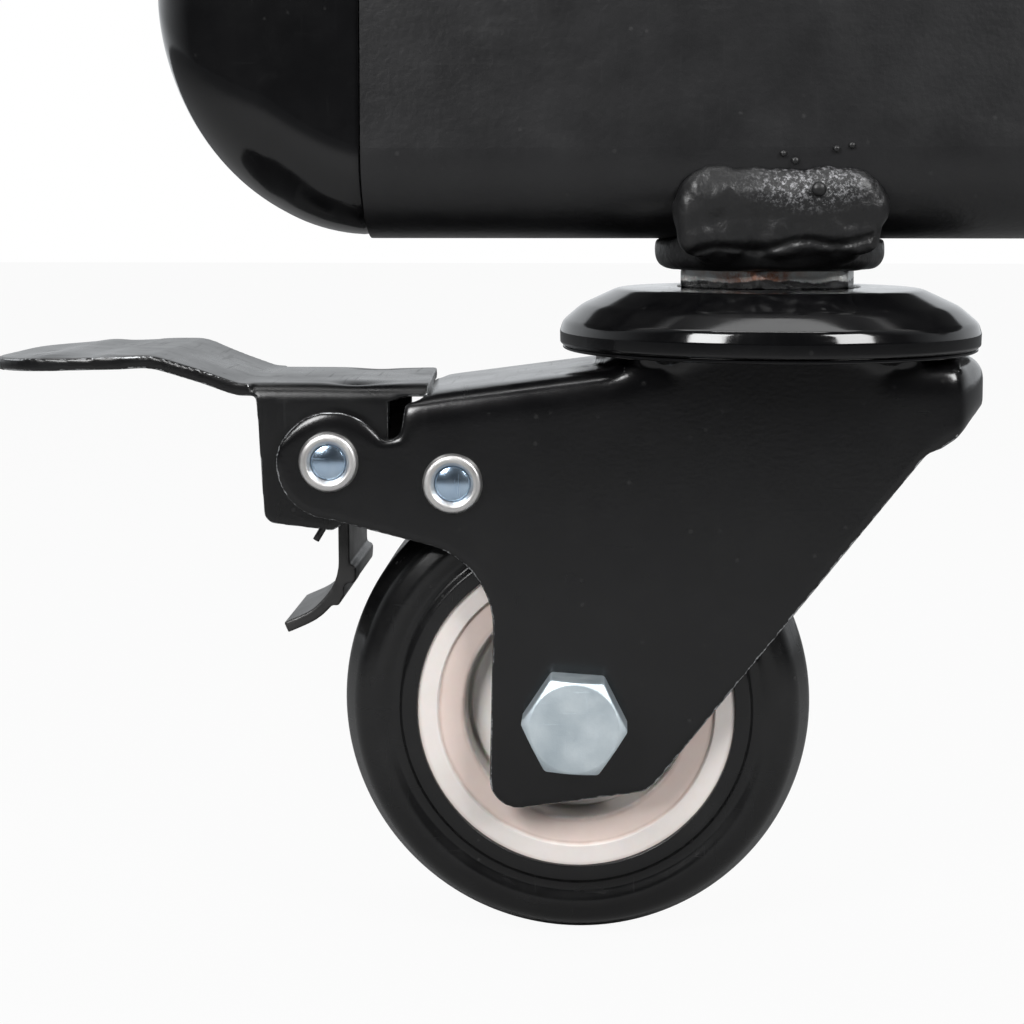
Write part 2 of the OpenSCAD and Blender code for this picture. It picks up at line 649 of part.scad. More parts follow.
// block with the two long top edges rounded
module pedal_box(w, top, r) {
    translate([-90, 0, 0]) rotate([90, 0, 90]) linear_extrude(60) {
        translate([-w, 50]) square([2 * w, top - r - 50]);
        translate([-w + r, 50]) square([2 * (w - r), top - 50]);
        for (s = [-1, 1]) translate([s * (w - r), top - r]) circle(r);
    }
}
// the shoe turns on the rivet with its own hub. Its blade hangs from the hub, curls away from
// the tyre at its end and carries two teeth, and a post on the hub is screwed to the pedal's top.
hub_r = rivet_r + 1.8;
foot_z = pedal_top - pedal_t - 1.8;
shoe_line = [[pivot_x + 0.8, pivot_z - rivet_r - 1, 0], [pivot_x + 0.9, 56.6, 9],
    [pivot_x - 3.6, 51.4, 9], [pivot_x - 8.6, 49.2, 0]];
shoe_teeth = [
    [[0.9, 60, 0], [2.9, 59.2, 0.6], [2.7, 56.6, 0.6], [0.4, 56.4, 0]],
    [[0.6, 57, 0], [0.9, 54.6, 0.5], [-0.2, 52.5, 0.6], [-2, 54, 0]]];
module brake_shoe() {
    hub_l = 2 * pedal_in - 1;
    color("#2a2b2c") place() difference() {
        union() {
            upright(-shoe_w / 2, shoe_w / 2) polygon(strip(shoe_line, shoe_t));
            for (tooth = shoe_teeth) upright(-shoe_w / 2, shoe_w / 2)
                polygon(rounded([for (p = tooth) [pivot_x + p[0], p[1], p[2]]]));
            upright(-shoe_w / 2, shoe_w / 2) polygon([
                [pivot_x - 0.9, pivot_z + rivet_r + 1], [pivot_x + 0.9, pivot_z + rivet_r + 1],
                [pivot_x + 0.9, foot_z], [pivot_x + 6.4, foot_z], [pivot_x + 6.4, foot_z + 1.8],
                [pivot_x - 0.9, foot_z + 1.8]]);
            translate([pivot_x, 0, pivot_z]) rotate([90, 0, 0])
                cylinder(h = hub_l, r = hub_r, center = true);
        }
        translate([pivot_x, 0, pivot_z]) rotate([90, 0, 0])
            cylinder(h = hub_l + 2, r = rivet_r + pivot_gap, center = true);
        for (y = [-6, 6]) translate([pivot_x + 3.8, y, 80]) cylinder(h = 20, d = 3);
    }
}
module shoe_screws() {
    color("#6f7276") place() for (y = [-6, 6]) translate([pivot_x + 3.8, y, foot_z]) {
        cylinder(h = 1.8, d = 3);
        translate([0, 0, -1.4]) cylinder(h = 1.4, d1 = 4, d2 = 5);
    }
}
module brake_spring() {
    wire = 1.1;
    pitch = wire * 0.94; // the turns lie close enough to be one solid
    turns = 3;
    coil_r = hub_r + 0.05 + wire / 2;
    first_y = -shoe_w / 2 - 0.2 - wire / 2;
    color("#3a3b3d") place() translate([pivot_x, 0, pivot_z]) {
        for (i = [0:turns - 1]) translate([0, first_y - pitch * i, 0]) rotate([90, 0, 0])
            rotate_extrude() translate([coil_r, 0]) circle(wire / 2, $fn = 24);
        translate([-1.6, first_y - pitch * (turns - 1), -coil_r + 0.2])
            rotate([0, 180 + 9, 0]) cylinder(h = 9.6, d = wire);
    }
}

frame_rail();
end_cap();
weld_bush();
bush_welds();
threaded_stem();
dust_cover();
dust_ring();
lower_race();
swivel_nut();
upper_balls();
lower_balls();
fork();
axle_bolt();
axle_nut();
axle_sleeve();
bearing_inner_rings();
bearing_outer_rings();
bearing_balls();
wheel_core();
tyre();
hub_caps();
pivot_rivet();
pivot_core();
stop_rivet();
stop_core();
stop_spacers();
brake_pedal();
brake_shoe();
shoe_screws();
brake_spring();
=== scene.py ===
import json
import math

import bmesh
import bpy
import numpy as np
from mathutils import Matrix, Vector, noise


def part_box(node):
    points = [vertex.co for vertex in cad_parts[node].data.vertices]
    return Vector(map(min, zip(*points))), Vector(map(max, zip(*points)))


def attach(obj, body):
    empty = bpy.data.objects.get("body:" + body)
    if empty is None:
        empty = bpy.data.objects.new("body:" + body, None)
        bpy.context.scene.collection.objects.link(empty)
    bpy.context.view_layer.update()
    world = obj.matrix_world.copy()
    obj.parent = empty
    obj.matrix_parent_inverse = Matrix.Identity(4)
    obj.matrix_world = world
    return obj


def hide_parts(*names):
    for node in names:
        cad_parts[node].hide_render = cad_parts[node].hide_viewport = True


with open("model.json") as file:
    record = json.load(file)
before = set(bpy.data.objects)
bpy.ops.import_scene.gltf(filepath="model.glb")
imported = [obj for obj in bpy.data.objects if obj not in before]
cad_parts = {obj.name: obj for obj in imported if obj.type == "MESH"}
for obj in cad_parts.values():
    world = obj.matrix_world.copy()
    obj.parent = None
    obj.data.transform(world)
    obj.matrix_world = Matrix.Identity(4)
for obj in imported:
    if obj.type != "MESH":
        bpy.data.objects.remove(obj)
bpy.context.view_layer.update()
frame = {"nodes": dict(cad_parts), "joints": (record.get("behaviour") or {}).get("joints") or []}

mm = 0.001
joints = {j["name"]: Vector(j["pos_m"]) for j in frame["joints"]}
axle = joints["wheel_spin"]
pivot = joints["brake_press"]
stemX = joints["swivel"].x
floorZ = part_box("tyre")[0].z


def say(text):
    print("caster:", text, flush=True)


def casterPoint(x, y, z):  # millimetres from the point on the floor under the stem
    return Vector((stemX + x * mm, y * mm, floorZ + z * mm))


# camera, floor and lights

cameraSetup = {
    "place": (-100.1, -301.7, -36.0),  # millimetres
    "tiltDown": 4.32,
    "turnLeft": 3.17,
    "lens": 64.7,
    "shiftY": -0.156,
}
lightSetup = {
    "nearRoom": 0.03,  # the dark side of the room, behind the camera
    "farRoom": 0.95,
    "roomTurns": (-0.25, 0.6),  # where the room goes from dark to bright, looking from front to back
    "backdrop": 1.0,
    "overhead": {"at": (-0.10, 0.16, 0.62), "aim": (-0.10, 0.0, -0.07), "size": (0.75, 0.5), "power": 3.2},
    "leftBox": {"at": (-0.40, -0.41, 0.28), "aim": (-0.09, 0.0, -0.08), "size": (0.2, 0.26), "power": 3.5},
    "rightBox": {"at": (0.27, -0.36, 0.28), "aim": (-0.08, 0.0, -0.08), "size": (0.2, 0.26), "power": 2.9},
    "slit": {"at": (-0.09, -0.16, 0.62), "aim": (-0.09, -0.03, -0.06), "size": (0.5, 0.04), "power": 0.7},
}


def addCamera(setup):
    data = bpy.data.cameras.new("mainCamera")
    data.lens = setup["lens"]
    data.shift_y = setup["shiftY"]
    data.clip_start = 0.01
    camera = bpy.data.objects.new("mainCamera", data)
    camera.location = Vector(setup["place"]) * mm
    camera.rotation_euler = (math.radians(90 - setup["tiltDown"]), 0, math.radians(setup["turnLeft"]))
    bpy.context.collection.objects.link(camera)
    bpy.context.scene.camera = camera


def addLight(name, setup):
    data = bpy.data.lights.new(name, "AREA")
    data.shape = "RECTANGLE"
    data.size, data.size_y = setup["size"]
    data.energy = setup["power"]
    lamp = bpy.data.objects.new(name, data)
    lamp.location = setup["at"]
    lamp.rotation_euler = (Vector(setup["aim"]) - Vector(setup["at"])).to_track_quat("-Z", "Y").to_euler()
    lamp.visible_camera = False
    bpy.context.collection.objects.link(lamp)


def addWorld(setup):  # bright behind the caster, dark behind the camera, and white where it is seen
    world = bpy.data.worlds.new("studio")
    bpy.context.scene.world = world
    world.use_nodes = True
    tree = world.node_tree
    tree.nodes.clear()
    path = tree.nodes.new("ShaderNodeLightPath")
    lit = tree.nodes.new("ShaderNodeBackground")
    seen = tree.nodes.new("ShaderNodeBackground")
    mix = tree.nodes.new("ShaderNodeMixShader")
    out = tree.nodes.new("ShaderNodeOutputWorld")
    ahead = tree.nodes.new("ShaderNodeSeparateXYZ")
    tree.links.new(tree.nodes.new("ShaderNodeTexCoord").outputs["Generated"], ahead.inputs[0])
    fade = tree.nodes.new("ShaderNodeMapRange")
    tree.links.new(ahead.outputs["Y"], fade.inputs["Value"])
    fade.inputs["From Min"].default_value, fade.inputs["From Max"].default_value = setup["roomTurns"]
    fade.inputs["To Min"].default_value = setup["nearRoom"]
    fade.inputs["To Max"].default_value = setup["farRoom"]
    tree.links.new(fade.outputs["Result"], lit.inputs["Strength"])
    lit.inputs["Color"].default_value = (0.94, 0.97, 1.0, 1)
    seen.inputs["Color"].default_value = (1, 1, 1, 1)
    seen.inputs["Strength"].default_value = setup["backdrop"]
    tree.links.new(path.outputs["Is Camera Ray"], mix.inputs["Fac"])
    tree.links.new(lit.outputs[0], mix.inputs[1])
    tree.links.new(seen.outputs[0], mix.inputs[2])
    tree.links.new(mix.outputs[0], out.inputs["Surface"])


floorSetup = {"half": 4, "grey": 0.26, "roughness": 0.8, "specular": 0.1, "glow": 0.95}


def addFloor(setup):  # pale to the eye, darker to what it lights
    material = bpy.data.materials.new("paleFloor")
    material.use_nodes = True
    tree = material.node_tree
    shader = tree.nodes["Principled BSDF"]
    shader.inputs["Base Color"].default_value = (*[setup["grey"]] * 3, 1)
    shader.inputs["Roughness"].default_value = setup["roughness"]
    shader.inputs["Specular IOR Level"].default_value = setup["specular"]
    glow = tree.nodes.new("ShaderNodeEmission")
    mix = tree.nodes.new("ShaderNodeMixShader")
    path = tree.nodes.new("ShaderNodeLightPath")
    share = tree.nodes.new("ShaderNodeMath")
    share.operation = "MULTIPLY"
    share.inputs[1].default_value = setup["glow"]
    tree.links.new(path.outputs["Is Camera Ray"], share.inputs[0])
    tree.links.new(share.outputs[0], mix.inputs["Fac"])
    tree.links.new(shader.outputs[0], mix.inputs[1])
    tree.links.new(glow.outputs[0], mix.inputs[2])
    tree.links.new(mix.outputs[0], tree.nodes["Material Output"].inputs["Surface"])
    mesh = bpy.data.meshes.new("floor")
    half = setup["half"]
    corners = [(x * half, y * half, floorZ) for x, y in ((-1, -1), (1, -1), (1, 1), (-1, 1))]
    mesh.from_pydata(corners, [], [(0, 1, 2, 3)])
    mesh.materials.append(material)
    floor = bpy.data.objects.new("floor", mesh)
    bpy.context.collection.objects.link(floor)


addCamera(cameraSetup)
addWorld(lightSetup)
for lightName in ("overhead", "leftBox", "rightBox", "slit"):
    addLight(lightName, lightSetup[lightName])
addFloor(floorSetup)
bpy.context.scene.view_settings.view_transform = "Standard"
say("camera, floor and lights are up")


# shared shader groups

def newGroup(name, inputs, outputs):
    tree = bpy.data.node_groups.new(name, "ShaderNodeTree")
    for label, kind, value in inputs:
        socket = tree.interface.new_socket(label, in_out="INPUT", socket_type="NodeSocket" + kind)
        socket.default_value = value
    for label, kind in outputs:
        tree.interface.new_socket(label, in_out="OUTPUT", socket_type="NodeSocket" + kind)
    return tree, tree.nodes.new("NodeGroupInput").outputs, tree.nodes.new("NodeGroupOutput").inputs


def addNode(tree, kind, links=None, **settings):
    made = tree.nodes.new("ShaderNode" + kind)
    for key, value in settings.items():
        setattr(made, key, value)
    for key, value in (links or {}).items():
        if isinstance(value, bpy.types.NodeSocket):
            tree.links.new(value, made.inputs[key])
        else:
            made.inputs[key].default_value = value
    return made


def calc(tree, operation, a, b=None, clamp=False):
    links = {0: a} if b is None else {0: a, 1: b}
    return addNode(tree, "Math", links, operation=operation, use_clamp=clamp).outputs[0]


def plus(tree, a, b, clamp=False):
    return calc(tree, "ADD", a, b, clamp)


def minus(tree, a, b):
    return calc(tree, "SUBTRACT", a, b)


def times(tree, a, b):
    return calc(tree, "MULTIPLY", a, b)


def larger(tree, a, b):
    return calc(tree, "MAXIMUM", a, b)


def farFrom(tree, value, place):
    return calc(tree, "ABSOLUTE", minus(tree, value, place))


def ramp(tree, value, low, high, start=0.0, end=1.0):
    return addNode(tree, "MapRange", {"Value": value, "From Min": low, "From Max": high,
                                      "To Min": start, "To Max": end}, clamp=True).outputs["Result"]


def noiseOf(tree, vector, scale, detail=3.0, rough=0.55):
    return addNode(tree, "TexNoise", {"Vector": vector, "Scale": scale, "Detail": detail,
                                      "Roughness": rough}).outputs["Fac"]


def objectPlace(tree):
    return addNode(tree, "TexCoord").outputs["Object"]


def buildPaintSkin():  # the pebbled skin of powder paint
    tree, given, out = newGroup(
        "paintSkin", [("Pebble Scale", "Float", 900.0), ("Mottle Scale", "Float", 60.0)],
        [("Height", "Float"), ("Mottle", "Float")])
    place = objectPlace(tree)
    pebble = noiseOf(tree, place, given["Pebble Scale"], 2.0, 0.5)
    wide = noiseOf(tree, place, given["Mottle Scale"], 4.0, 0.6)
    tree.links.new(pebble, out["Height"])
    tree.links.new(ramp(tree, wide, 0.3, 0.7), out["Mottle"])
    return tree


def buildEdgeWear():  # bare metal where an edge is rubbed; the mask comes from the mesh
    tree, given, out = newGroup("edgeWear", [("Reach", "Float", 0.5), ("Scale", "Float", 240.0)],
                                [("Mask", "Float")])
    place = objectPlace(tree)
    edge = addNode(tree, "Attribute", attribute_name="wear").outputs["Fac"]
    patches = noiseOf(tree, place, given["Scale"], 5.0, 0.65)
    fine = noiseOf(tree, place, 2600.0, 2.0, 0.6)
    broken = plus(tree, times(tree, patches, 0.75), times(tree, fine, 0.35))
    need = minus(tree, 1.62, given["Reach"])
    total = plus(tree, times(tree, edge, 0.9), broken)
    bare = ramp(tree, minus(tree, total, need), 0.0, 0.14)
    tree.links.new(times(tree, bare, ramp(tree, edge, 0.12, 0.4)), out["Mask"])
    return tree


def buildDust():  # pale specks, thicker on what faces up
    tree, given, out = newGroup("dust", [("Amount", "Float", 0.4), ("Scale", "Float", 700.0)],
                                [("Mask", "Float")])
    place = objectPlace(tree)
    up = addNode(tree, "SeparateXYZ", {0: addNode(tree, "NewGeometry").outputs["Normal"]}).outputs["Z"]
    lying = ramp(tree, up, -0.2, 1.0, 0.25, 1.0)
    cells = addNode(tree, "TexVoronoi", {"Vector": place, "Scale": given["Scale"], "Randomness": 1.0})
    keep = ramp(tree, addNode(tree, "SeparateColor", {0: cells.outputs["Color"]}).outputs[0], 0.86, 0.9)
    speck = times(tree, ramp(tree, cells.outputs["Distance"], 0.2, 0.08), keep)
    film = ramp(tree, noiseOf(tree, place, 110.0, 5.0, 0.7), 0.45, 0.85, 0.0, 0.25)
    both = larger(tree, times(tree, speck, 0.8), film)
    settled = times(tree, both, lying)
    tree.links.new(times(tree, settled, given["Amount"]), out["Mask"])
    return tree


def buildRubMarks():  # hairline rubbing in all directions
    tree, given, out = newGroup("rubMarks", [("Scale", "Float", 60.0), ("Amount", "Float", 0.5)],
                                [("Mask", "Float")])
    place = objectPlace(tree)
    marks = []
    for turn, stretch in ((0.3, (1, 1, 22)), (1.2, (18, 1, 1)), (2.1, (1, 15, 3))):
        turned = addNode(tree, "Mapping", {"Vector": place, "Rotation": (turn, turn * 0.7, turn * 1.3),
                                           "Scale": stretch}).outputs[0]
        marks.append(ramp(tree, noiseOf(tree, turned, given["Scale"], 3.0, 0.6), 0.62, 0.7))
    rubbed = larger(tree, larger(tree, marks[0], marks[1]), marks[2])
    tree.links.new(times(tree, rubbed, given["Amount"]), out["Mask"])
    return tree


def buildAxleDistance():  # distance of a point from the wheel's axle, in metres
    tree, given, out = newGroup("axleDistance", [("Axle", "Vector", (0, 0, 0))], [("Radius", "Float")])
    away = addNode(tree, "VectorMath", {0: objectPlace(tree), 1: given["Axle"]}, operation="SUBTRACT")
    parts = addNode(tree, "SeparateXYZ", {0: away.outputs[0]}).outputs
    square = plus(tree, times(tree, parts["X"], parts["X"]), times(tree, parts["Z"], parts["Z"]))
    tree.links.new(calc(tree, "SQRT", square), out["Radius"])
    return tree


paintSkin = buildPaintSkin()
edgeWear = buildEdgeWear()
dust = buildDust()
rubMarks = buildRubMarks()
axleDistance = buildAxleDistance()


# materials

def startMaterial(name):
    material = bpy.data.materials.new(name)
    material.use_nodes = True
    return material, material.node_tree, material.node_tree.nodes["Principled BSDF"]


def useGroup(tree, group, values):
    made = tree.nodes.new("ShaderNodeGroup")
    made.node_tree = group
    for key, value in values.items():
        made.inputs[key].default_value = value
    return made.outputs


def mixColour(tree, factor, a, b):
    made = addNode(tree, "Mix", data_type="RGBA")
    for socket, value in ((made.inputs[0], factor), (made.inputs[6], a), (made.inputs[7], b)):
        if isinstance(value, bpy.types.NodeSocket):
            tree.links.new(value, socket)
        else:
            socket.default_value = value if isinstance(value, float) else (*value, 1)
    return made.outputs[2]


def addBump(tree, shader, height, strength, distance):
    made = addNode(tree, "Bump", {"Height": height, "Strength": strength, "Distance": distance})
    tree.links.new(made.outputs[0], shader.inputs["Normal"])


def blackPaint(name, values):
    material, tree, shader = startMaterial(name)
    skin = useGroup(tree, paintSkin, {"Pebble Scale": values["pebbleScale"],
                                      "Mottle Scale": values["mottleScale"]})
    worn = useGroup(tree, edgeWear, {"Reach": values["wearReach"], "Scale": values["wearScale"]})["Mask"]
    lying = useGroup(tree, dust, {"Amount": values["dust"], "Scale": values["dustScale"]})["Mask"]
    rubbed = useGroup(tree, rubMarks, {"Scale": values["rubScale"], "Amount": values["rub"]})["Mask"]
    paint = mixColour(tree, skin["Mottle"], values["dark"], values["light"])
    dusty = mixColour(tree, lying, paint, values["dustColour"])
    tree.links.new(mixColour(tree, worn, dusty, values["metalColour"]), shader.inputs["Base Color"])
    tree.links.new(worn, shader.inputs["Metallic"])
    base = ramp(tree, skin["Mottle"], 0.0, 1.0, values["roughLow"], values["roughHigh"])
    rough = plus(tree, plus(tree, base, times(tree, rubbed, 0.12)),
                 times(tree, lying, 0.4), clamp=True)
    rough = larger(tree, rough, times(tree, worn, 0.34))
    tree.links.new(rough, shader.inputs["Roughness"])
    height = minus(tree, skin["Height"], times(tree, worn, 0.6))
    addBump(tree, shader, height, values["pebble"], 0.0001)
    shader.inputs["Specular IOR Level"].default_value = values["specular"]
    return material


paintValues = {
    "pebbleScale": 1500.0, "mottleScale": 70.0, "pebble": 0.14,
    "dark": (0.002, 0.002, 0.0023), "light": (0.0032, 0.0032, 0.0036),
    "dustColour": (0.09, 0.09, 0.088), "metalColour": (0.5, 0.51, 0.52),
    "wearReach": 0.27, "wearScale": 200.0, "dust": 0.35, "dustScale": 420.0,
    "rub": 0.3, "rubScale": 70.0, "roughLow": 0.17, "roughHigh": 0.25, "specular": 0.5,
}
forkPaint = blackPaint("forkPowderPaint", paintValues)
pedalPaint = blackPaint("pedalPowderPaint", {
    **paintValues, "wearReach": 0.36, "roughLow": 0.24, "roughHigh": 0.36, "rub": 0.7, "dust": 0.45,
})
railPaint = blackPaint("railSatinPaint", {
    **paintValues, "pebbleScale": 900.0, "pebble": 0.5, "roughLow": 0.36, "roughHigh": 0.44, "dust": 0.4,
    "dark": (0.0048, 0.0048, 0.0054), "light": (0.0075, 0.0075, 0.0084),
})
coverPaint = blackPaint("coverGlossPaint", {
    **paintValues, "pebble": 0.05, "pebbleScale": 500.0, "roughLow": 0.07, "roughHigh": 0.13,
    "wearReach": 0.22, "dust": 0.3, "rub": 0.3,
})
shoePaint = blackPaint("shoeOiledSteel", {
    **paintValues, "pebble": 0.35, "roughLow": 0.3, "roughHigh": 0.46, "wearReach": 0.46,
    "dark": (0.012, 0.012, 0.0125), "light": (0.03, 0.029, 0.028),
})


def glossyPlastic(name, values):
    material, tree, shader = startMaterial(name)
    skin = useGroup(tree, paintSkin, {"Pebble Scale": values["grainScale"], "Mottle Scale": 40.0})
    lying = useGroup(tree, dust, {"Amount": values["dust"], "Scale": 520.0})["Mask"]
    rubbed = useGroup(tree, rubMarks, {"Scale": 90.0, "Amount": 0.5})["Mask"]
    body = mixColour(tree, skin["Mottle"], values["dark"], values["light"])
    tree.links.new(mixColour(tree, lying, body, (0.1, 0.1, 0.1)), shader.inputs["Base Color"])
    rough = plus(tree, ramp(tree, skin["Mottle"], 0.0, 1.0, values["roughLow"], values["roughHigh"]),
                 times(tree, rubbed, 0.1))
    rough = plus(tree, rough, times(tree, lying, 0.4), clamp=True)
    tree.links.new(rough, shader.inputs["Roughness"])
    addBump(tree, shader, skin["Height"], values["grain"], 0.0001)
    return material


capPlastic = glossyPlastic("capGlossPlastic", {
    "dark": (0.0035, 0.0035, 0.0038), "light": (0.0055, 0.0055, 0.006),
    "roughLow": 0.1, "roughHigh": 0.17, "grain": 0.05, "grainScale": 420.0, "dust": 0.3,
})
tyreRubber = glossyPlastic("tyreGlossUrethane", {
    "dark": (0.003, 0.003, 0.0032), "light": (0.005, 0.005, 0.0053),
    "roughLow": 0.19, "roughHigh": 0.3, "grain": 0.12, "grainScale": 650.0, "dust": 0.55,
})


def platedMetal(name, values):
    material, tree, shader = startMaterial(name)
    place = objectPlace(tree)
    rubbed = useGroup(tree, rubMarks, {"Scale": values["rubScale"], "Amount": 1.0})["Mask"]
    cloud = ramp(tree, noiseOf(tree, place, values["cloudScale"], 5.0, 0.6), 0.32, 0.7)
    plated = mixColour(tree, cloud, values["dark"], values["light"])
    stain = noiseOf(tree, place, values["stainScale"], 6.0, 0.7)
    stain = ramp(tree, stain, values["stainFrom"], values["stainFrom"] + 0.08)
    tree.links.new(mixColour(tree, stain, plated, values["stainColour"]), shader.inputs["Base Color"])
    clean = minus(tree, 1.0, times(tree, stain, values["stainDull"]))
    tree.links.new(clean, shader.inputs["Metallic"])
    rough = plus(tree, ramp(tree, cloud, 0.0, 1.0, values["roughLow"], values["roughHigh"]),
                 times(tree, rubbed, 0.1))
    rough = plus(tree, rough, times(tree, stain, 0.3), clamp=True)
    tree.links.new(rough, shader.inputs["Roughness"])
    grain = noiseOf(tree, place, values["grainScale"], 4.0, 0.7)
    grain = plus(tree, grain, times(tree, rubbed, -0.3))
    addBump(tree, shader, grain, values["grain"], 0.0001)
    return material


metalValues = {
    "dark": (0.42, 0.44, 0.46), "light": (0.62, 0.64, 0.66), "cloudScale": 160.0, "rubScale": 110.0,
    "stainScale": 300.0, "stainFrom": 0.66, "stainColour": (0.12, 0.11, 0.1), "stainDull": 0.5,
    "roughLow": 0.2, "roughHigh": 0.34, "grain": 0.2, "grainScale": 1800.0,
}
zincPlate = platedMetal("blueZincPlate", {
    **metalValues, "dark": (0.66, 0.76, 0.82), "light": (0.82, 0.9, 0.94),
    "roughLow": 0.46, "roughHigh": 0.56, "stainFrom": 0.7,
})
blueDome = platedMetal("blueRivetCore", {
    **metalValues, "dark": (0.42, 0.58, 0.78), "light": (0.62, 0.76, 0.9),
    "roughLow": 0.16, "roughHigh": 0.26, "grain": 0.08, "stainFrom": 0.74,
})
rivetMetal = platedMetal("rolledRivetMetal", {
    **metalValues, "dark": (0.62, 0.61, 0.6), "light": (0.8, 0.79, 0.78),
    "roughLow": 0.36, "roughHigh": 0.48, "stainFrom": 0.69,
})
groundSteel = platedMetal("groundBearingSteel", {
    **metalValues, "roughLow": 0.12, "roughHigh": 0.2, "grain": 0.06,
})
nutSteel = platedMetal("dullNutSteel", {
    **metalValues, "dark": (0.3, 0.3, 0.3), "light": (0.44, 0.44, 0.44),
    "stainFrom": 0.6, "stainColour": (0.16, 0.08, 0.045), "stainDull": 0.8,
})

stemValues = {
    "bareFrom": 105.2,  # height in millimetres above the floor at which the paint ends
    "rustFrom": -4, "rustTo": 12,  # across the hexagon, in millimetres from the stem's axis
    "copper": (0.42, 0.2, 0.13), "silver": (0.58, 0.6, 0.6), "paint": (0.006, 0.006, 0.0065),
}


def rustyStem(values):  # painted at the foot, bare above, and rusty in the middle
    material, tree, shader = startMaterial("bareStemSteel")
    place = objectPlace(tree)
    parts = addNode(tree, "SeparateXYZ", {0: place}).outputs
    patch = noiseOf(tree, place, 190.0, 5.0, 0.65)
    wavy = plus(tree, parts["X"], times(tree, patch, 0.012))
    across = ramp(tree, wavy, stemX + values["rustFrom"] * mm, stemX + values["rustTo"] * mm)
    rust = ramp(tree, noiseOf(tree, place, 520.0, 6.0, 0.75), 0.42, 0.6)
    warm = times(tree, rust, ramp(tree, farFrom(tree, across, 0.45), 0.5, 0.1, 0.15, 1.0))
    metal = mixColour(tree, warm, values["silver"], values["copper"])
    edge = plus(tree, parts["Z"], times(tree, minus(tree, patch, 0.5), 0.0022))
    paintEnd = casterPoint(0, 0, values["bareFrom"]).z
    bare = ramp(tree, edge, paintEnd, casterPoint(0, 0, values["bareFrom"] + 0.25).z)
    tree.links.new(mixColour(tree, bare, values["paint"], metal), shader.inputs["Base Color"])
    clean = minus(tree, 1.0, times(tree, warm, 0.5))
    tree.links.new(times(tree, bare, clean), shader.inputs["Metallic"])
    rough = plus(tree, ramp(tree, bare, 0.0, 1.0, 0.24, 0.34), times(tree, warm, 0.25))
    tree.links.new(rough, shader.inputs["Roughness"])
    addBump(tree, shader, plus(tree, noiseOf(tree, place, 1300.0, 4.0, 0.7), rust), 0.5, 0.0002)
    return material


def weldMetal():
    material, tree, shader = startMaterial("paintedWeld")
    skin = useGroup(tree, paintSkin, {"Pebble Scale": 1100.0, "Mottle Scale": 120.0})
    lying = useGroup(tree, dust, {"Amount": 0.5, "Scale": 500.0})["Mask"]
    place = objectPlace(tree)
    bare = addNode(tree, "Attribute", attribute_name="bare").outputs["Fac"]
    grit = noiseOf(tree, place, 1500.0, 4.0, 0.8)
    scuffed = times(tree, ramp(tree, grit, 0.5, 0.62), ramp(tree, bare, 0.1, 0.7))
    paint = mixColour(tree, skin["Mottle"], (0.0042, 0.0042, 0.0046), (0.007, 0.007, 0.0075))
    dusty = mixColour(tree, lying, paint, (0.08, 0.08, 0.08))
    tree.links.new(mixColour(tree, scuffed, dusty, (0.3, 0.3, 0.31)), shader.inputs["Base Color"])
    tree.links.new(times(tree, scuffed, 0.8), shader.inputs["Metallic"])
    rough = ramp(tree, plus(tree, skin["Mottle"], scuffed), 0.0, 2.0, 0.4, 0.5)
    tree.links.new(rough, shader.inputs["Roughness"])
    height = plus(tree, times(tree, skin["Height"], 0.7), times(tree, grit, bare))
    addBump(tree, shader, height, 0.6, 0.00025)
    return material


nylonValues = {
    # inner is painted light: a paler colour that brightens the shaded recess
    "outer": (0.76, 0.71, 0.68), "step": (0.72, 0.6, 0.55), "inner": (0.95, 0.91, 0.87),
    "grime": (0.26, 0.14, 0.09),
    "stepEdge": 0.0217, "recessEdge": 0.0180, "rimEdge": 0.0245,  # metres from the axle
}


def coreNylon(values):  # rings of three tints with grime in the corners between them; the inner disc's tint is painted light, paler than the outer to lift the shade in its recess
    material, tree, shader = startMaterial("coreNylon")
    radius = useGroup(tree, axleDistance, {"Axle": tuple(axle)})["Radius"]
    place = objectPlace(tree)
    waver = times(tree, minus(tree, noiseOf(tree, place, 120.0), 0.5), 0.0008)
    wobble = plus(tree, radius, waver)
    stepMask = ramp(tree, wobble, 0.0220, 0.0217)
    # the inner disc takes the paler colour, painted light against the recess's shade
    innerPaintedLightMask = ramp(tree, wobble, 0.0182, 0.0176)
    outside = mixColour(tree, stepMask, values["outer"], values["step"])
    colour = mixColour(tree, innerPaintedLightMask, outside, values["inner"])
    patches = ramp(tree, noiseOf(tree, place, 90.0, 5.0, 0.7), 0.4, 0.75)
    stepLine = ramp(tree, farFrom(tree, wobble, values["stepEdge"]), 0.0004, 0.0)
    recessLine = ramp(tree, farFrom(tree, wobble, values["recessEdge"]), 0.0006, 0.0)
    lines = larger(tree, stepLine, recessLine)
    dirt = times(tree, lines, ramp(tree, patches, 0.0, 1.0, 0.25, 0.8))
    rim = times(tree, ramp(tree, wobble, values["rimEdge"], values["rimEdge"] + 0.0007), 0.35)
    grime = larger(tree, rim, times(tree, patches, 0.1))
    grime = larger(tree, times(tree, dirt, 0.7), grime)
    tree.links.new(mixColour(tree, grime, colour, values["grime"]), shader.inputs["Base Color"])
    tree.links.new(ramp(tree, patches, 0.0, 1.0, 0.42, 0.56), shader.inputs["Roughness"])
    addBump(tree, shader, noiseOf(tree, place, 900.0, 4.0, 0.6), 0.15, 0.0001)
    shader.inputs["Subsurface Weight"].default_value = 0.08
    shader.inputs["Subsurface Scale"].default_value = 0.001
    return material


stemSteel = rustyStem(stemValues)
weldSteel = weldMetal()
nylon = coreNylon(nylonValues)
say("materials are mixed")


# mesh tools

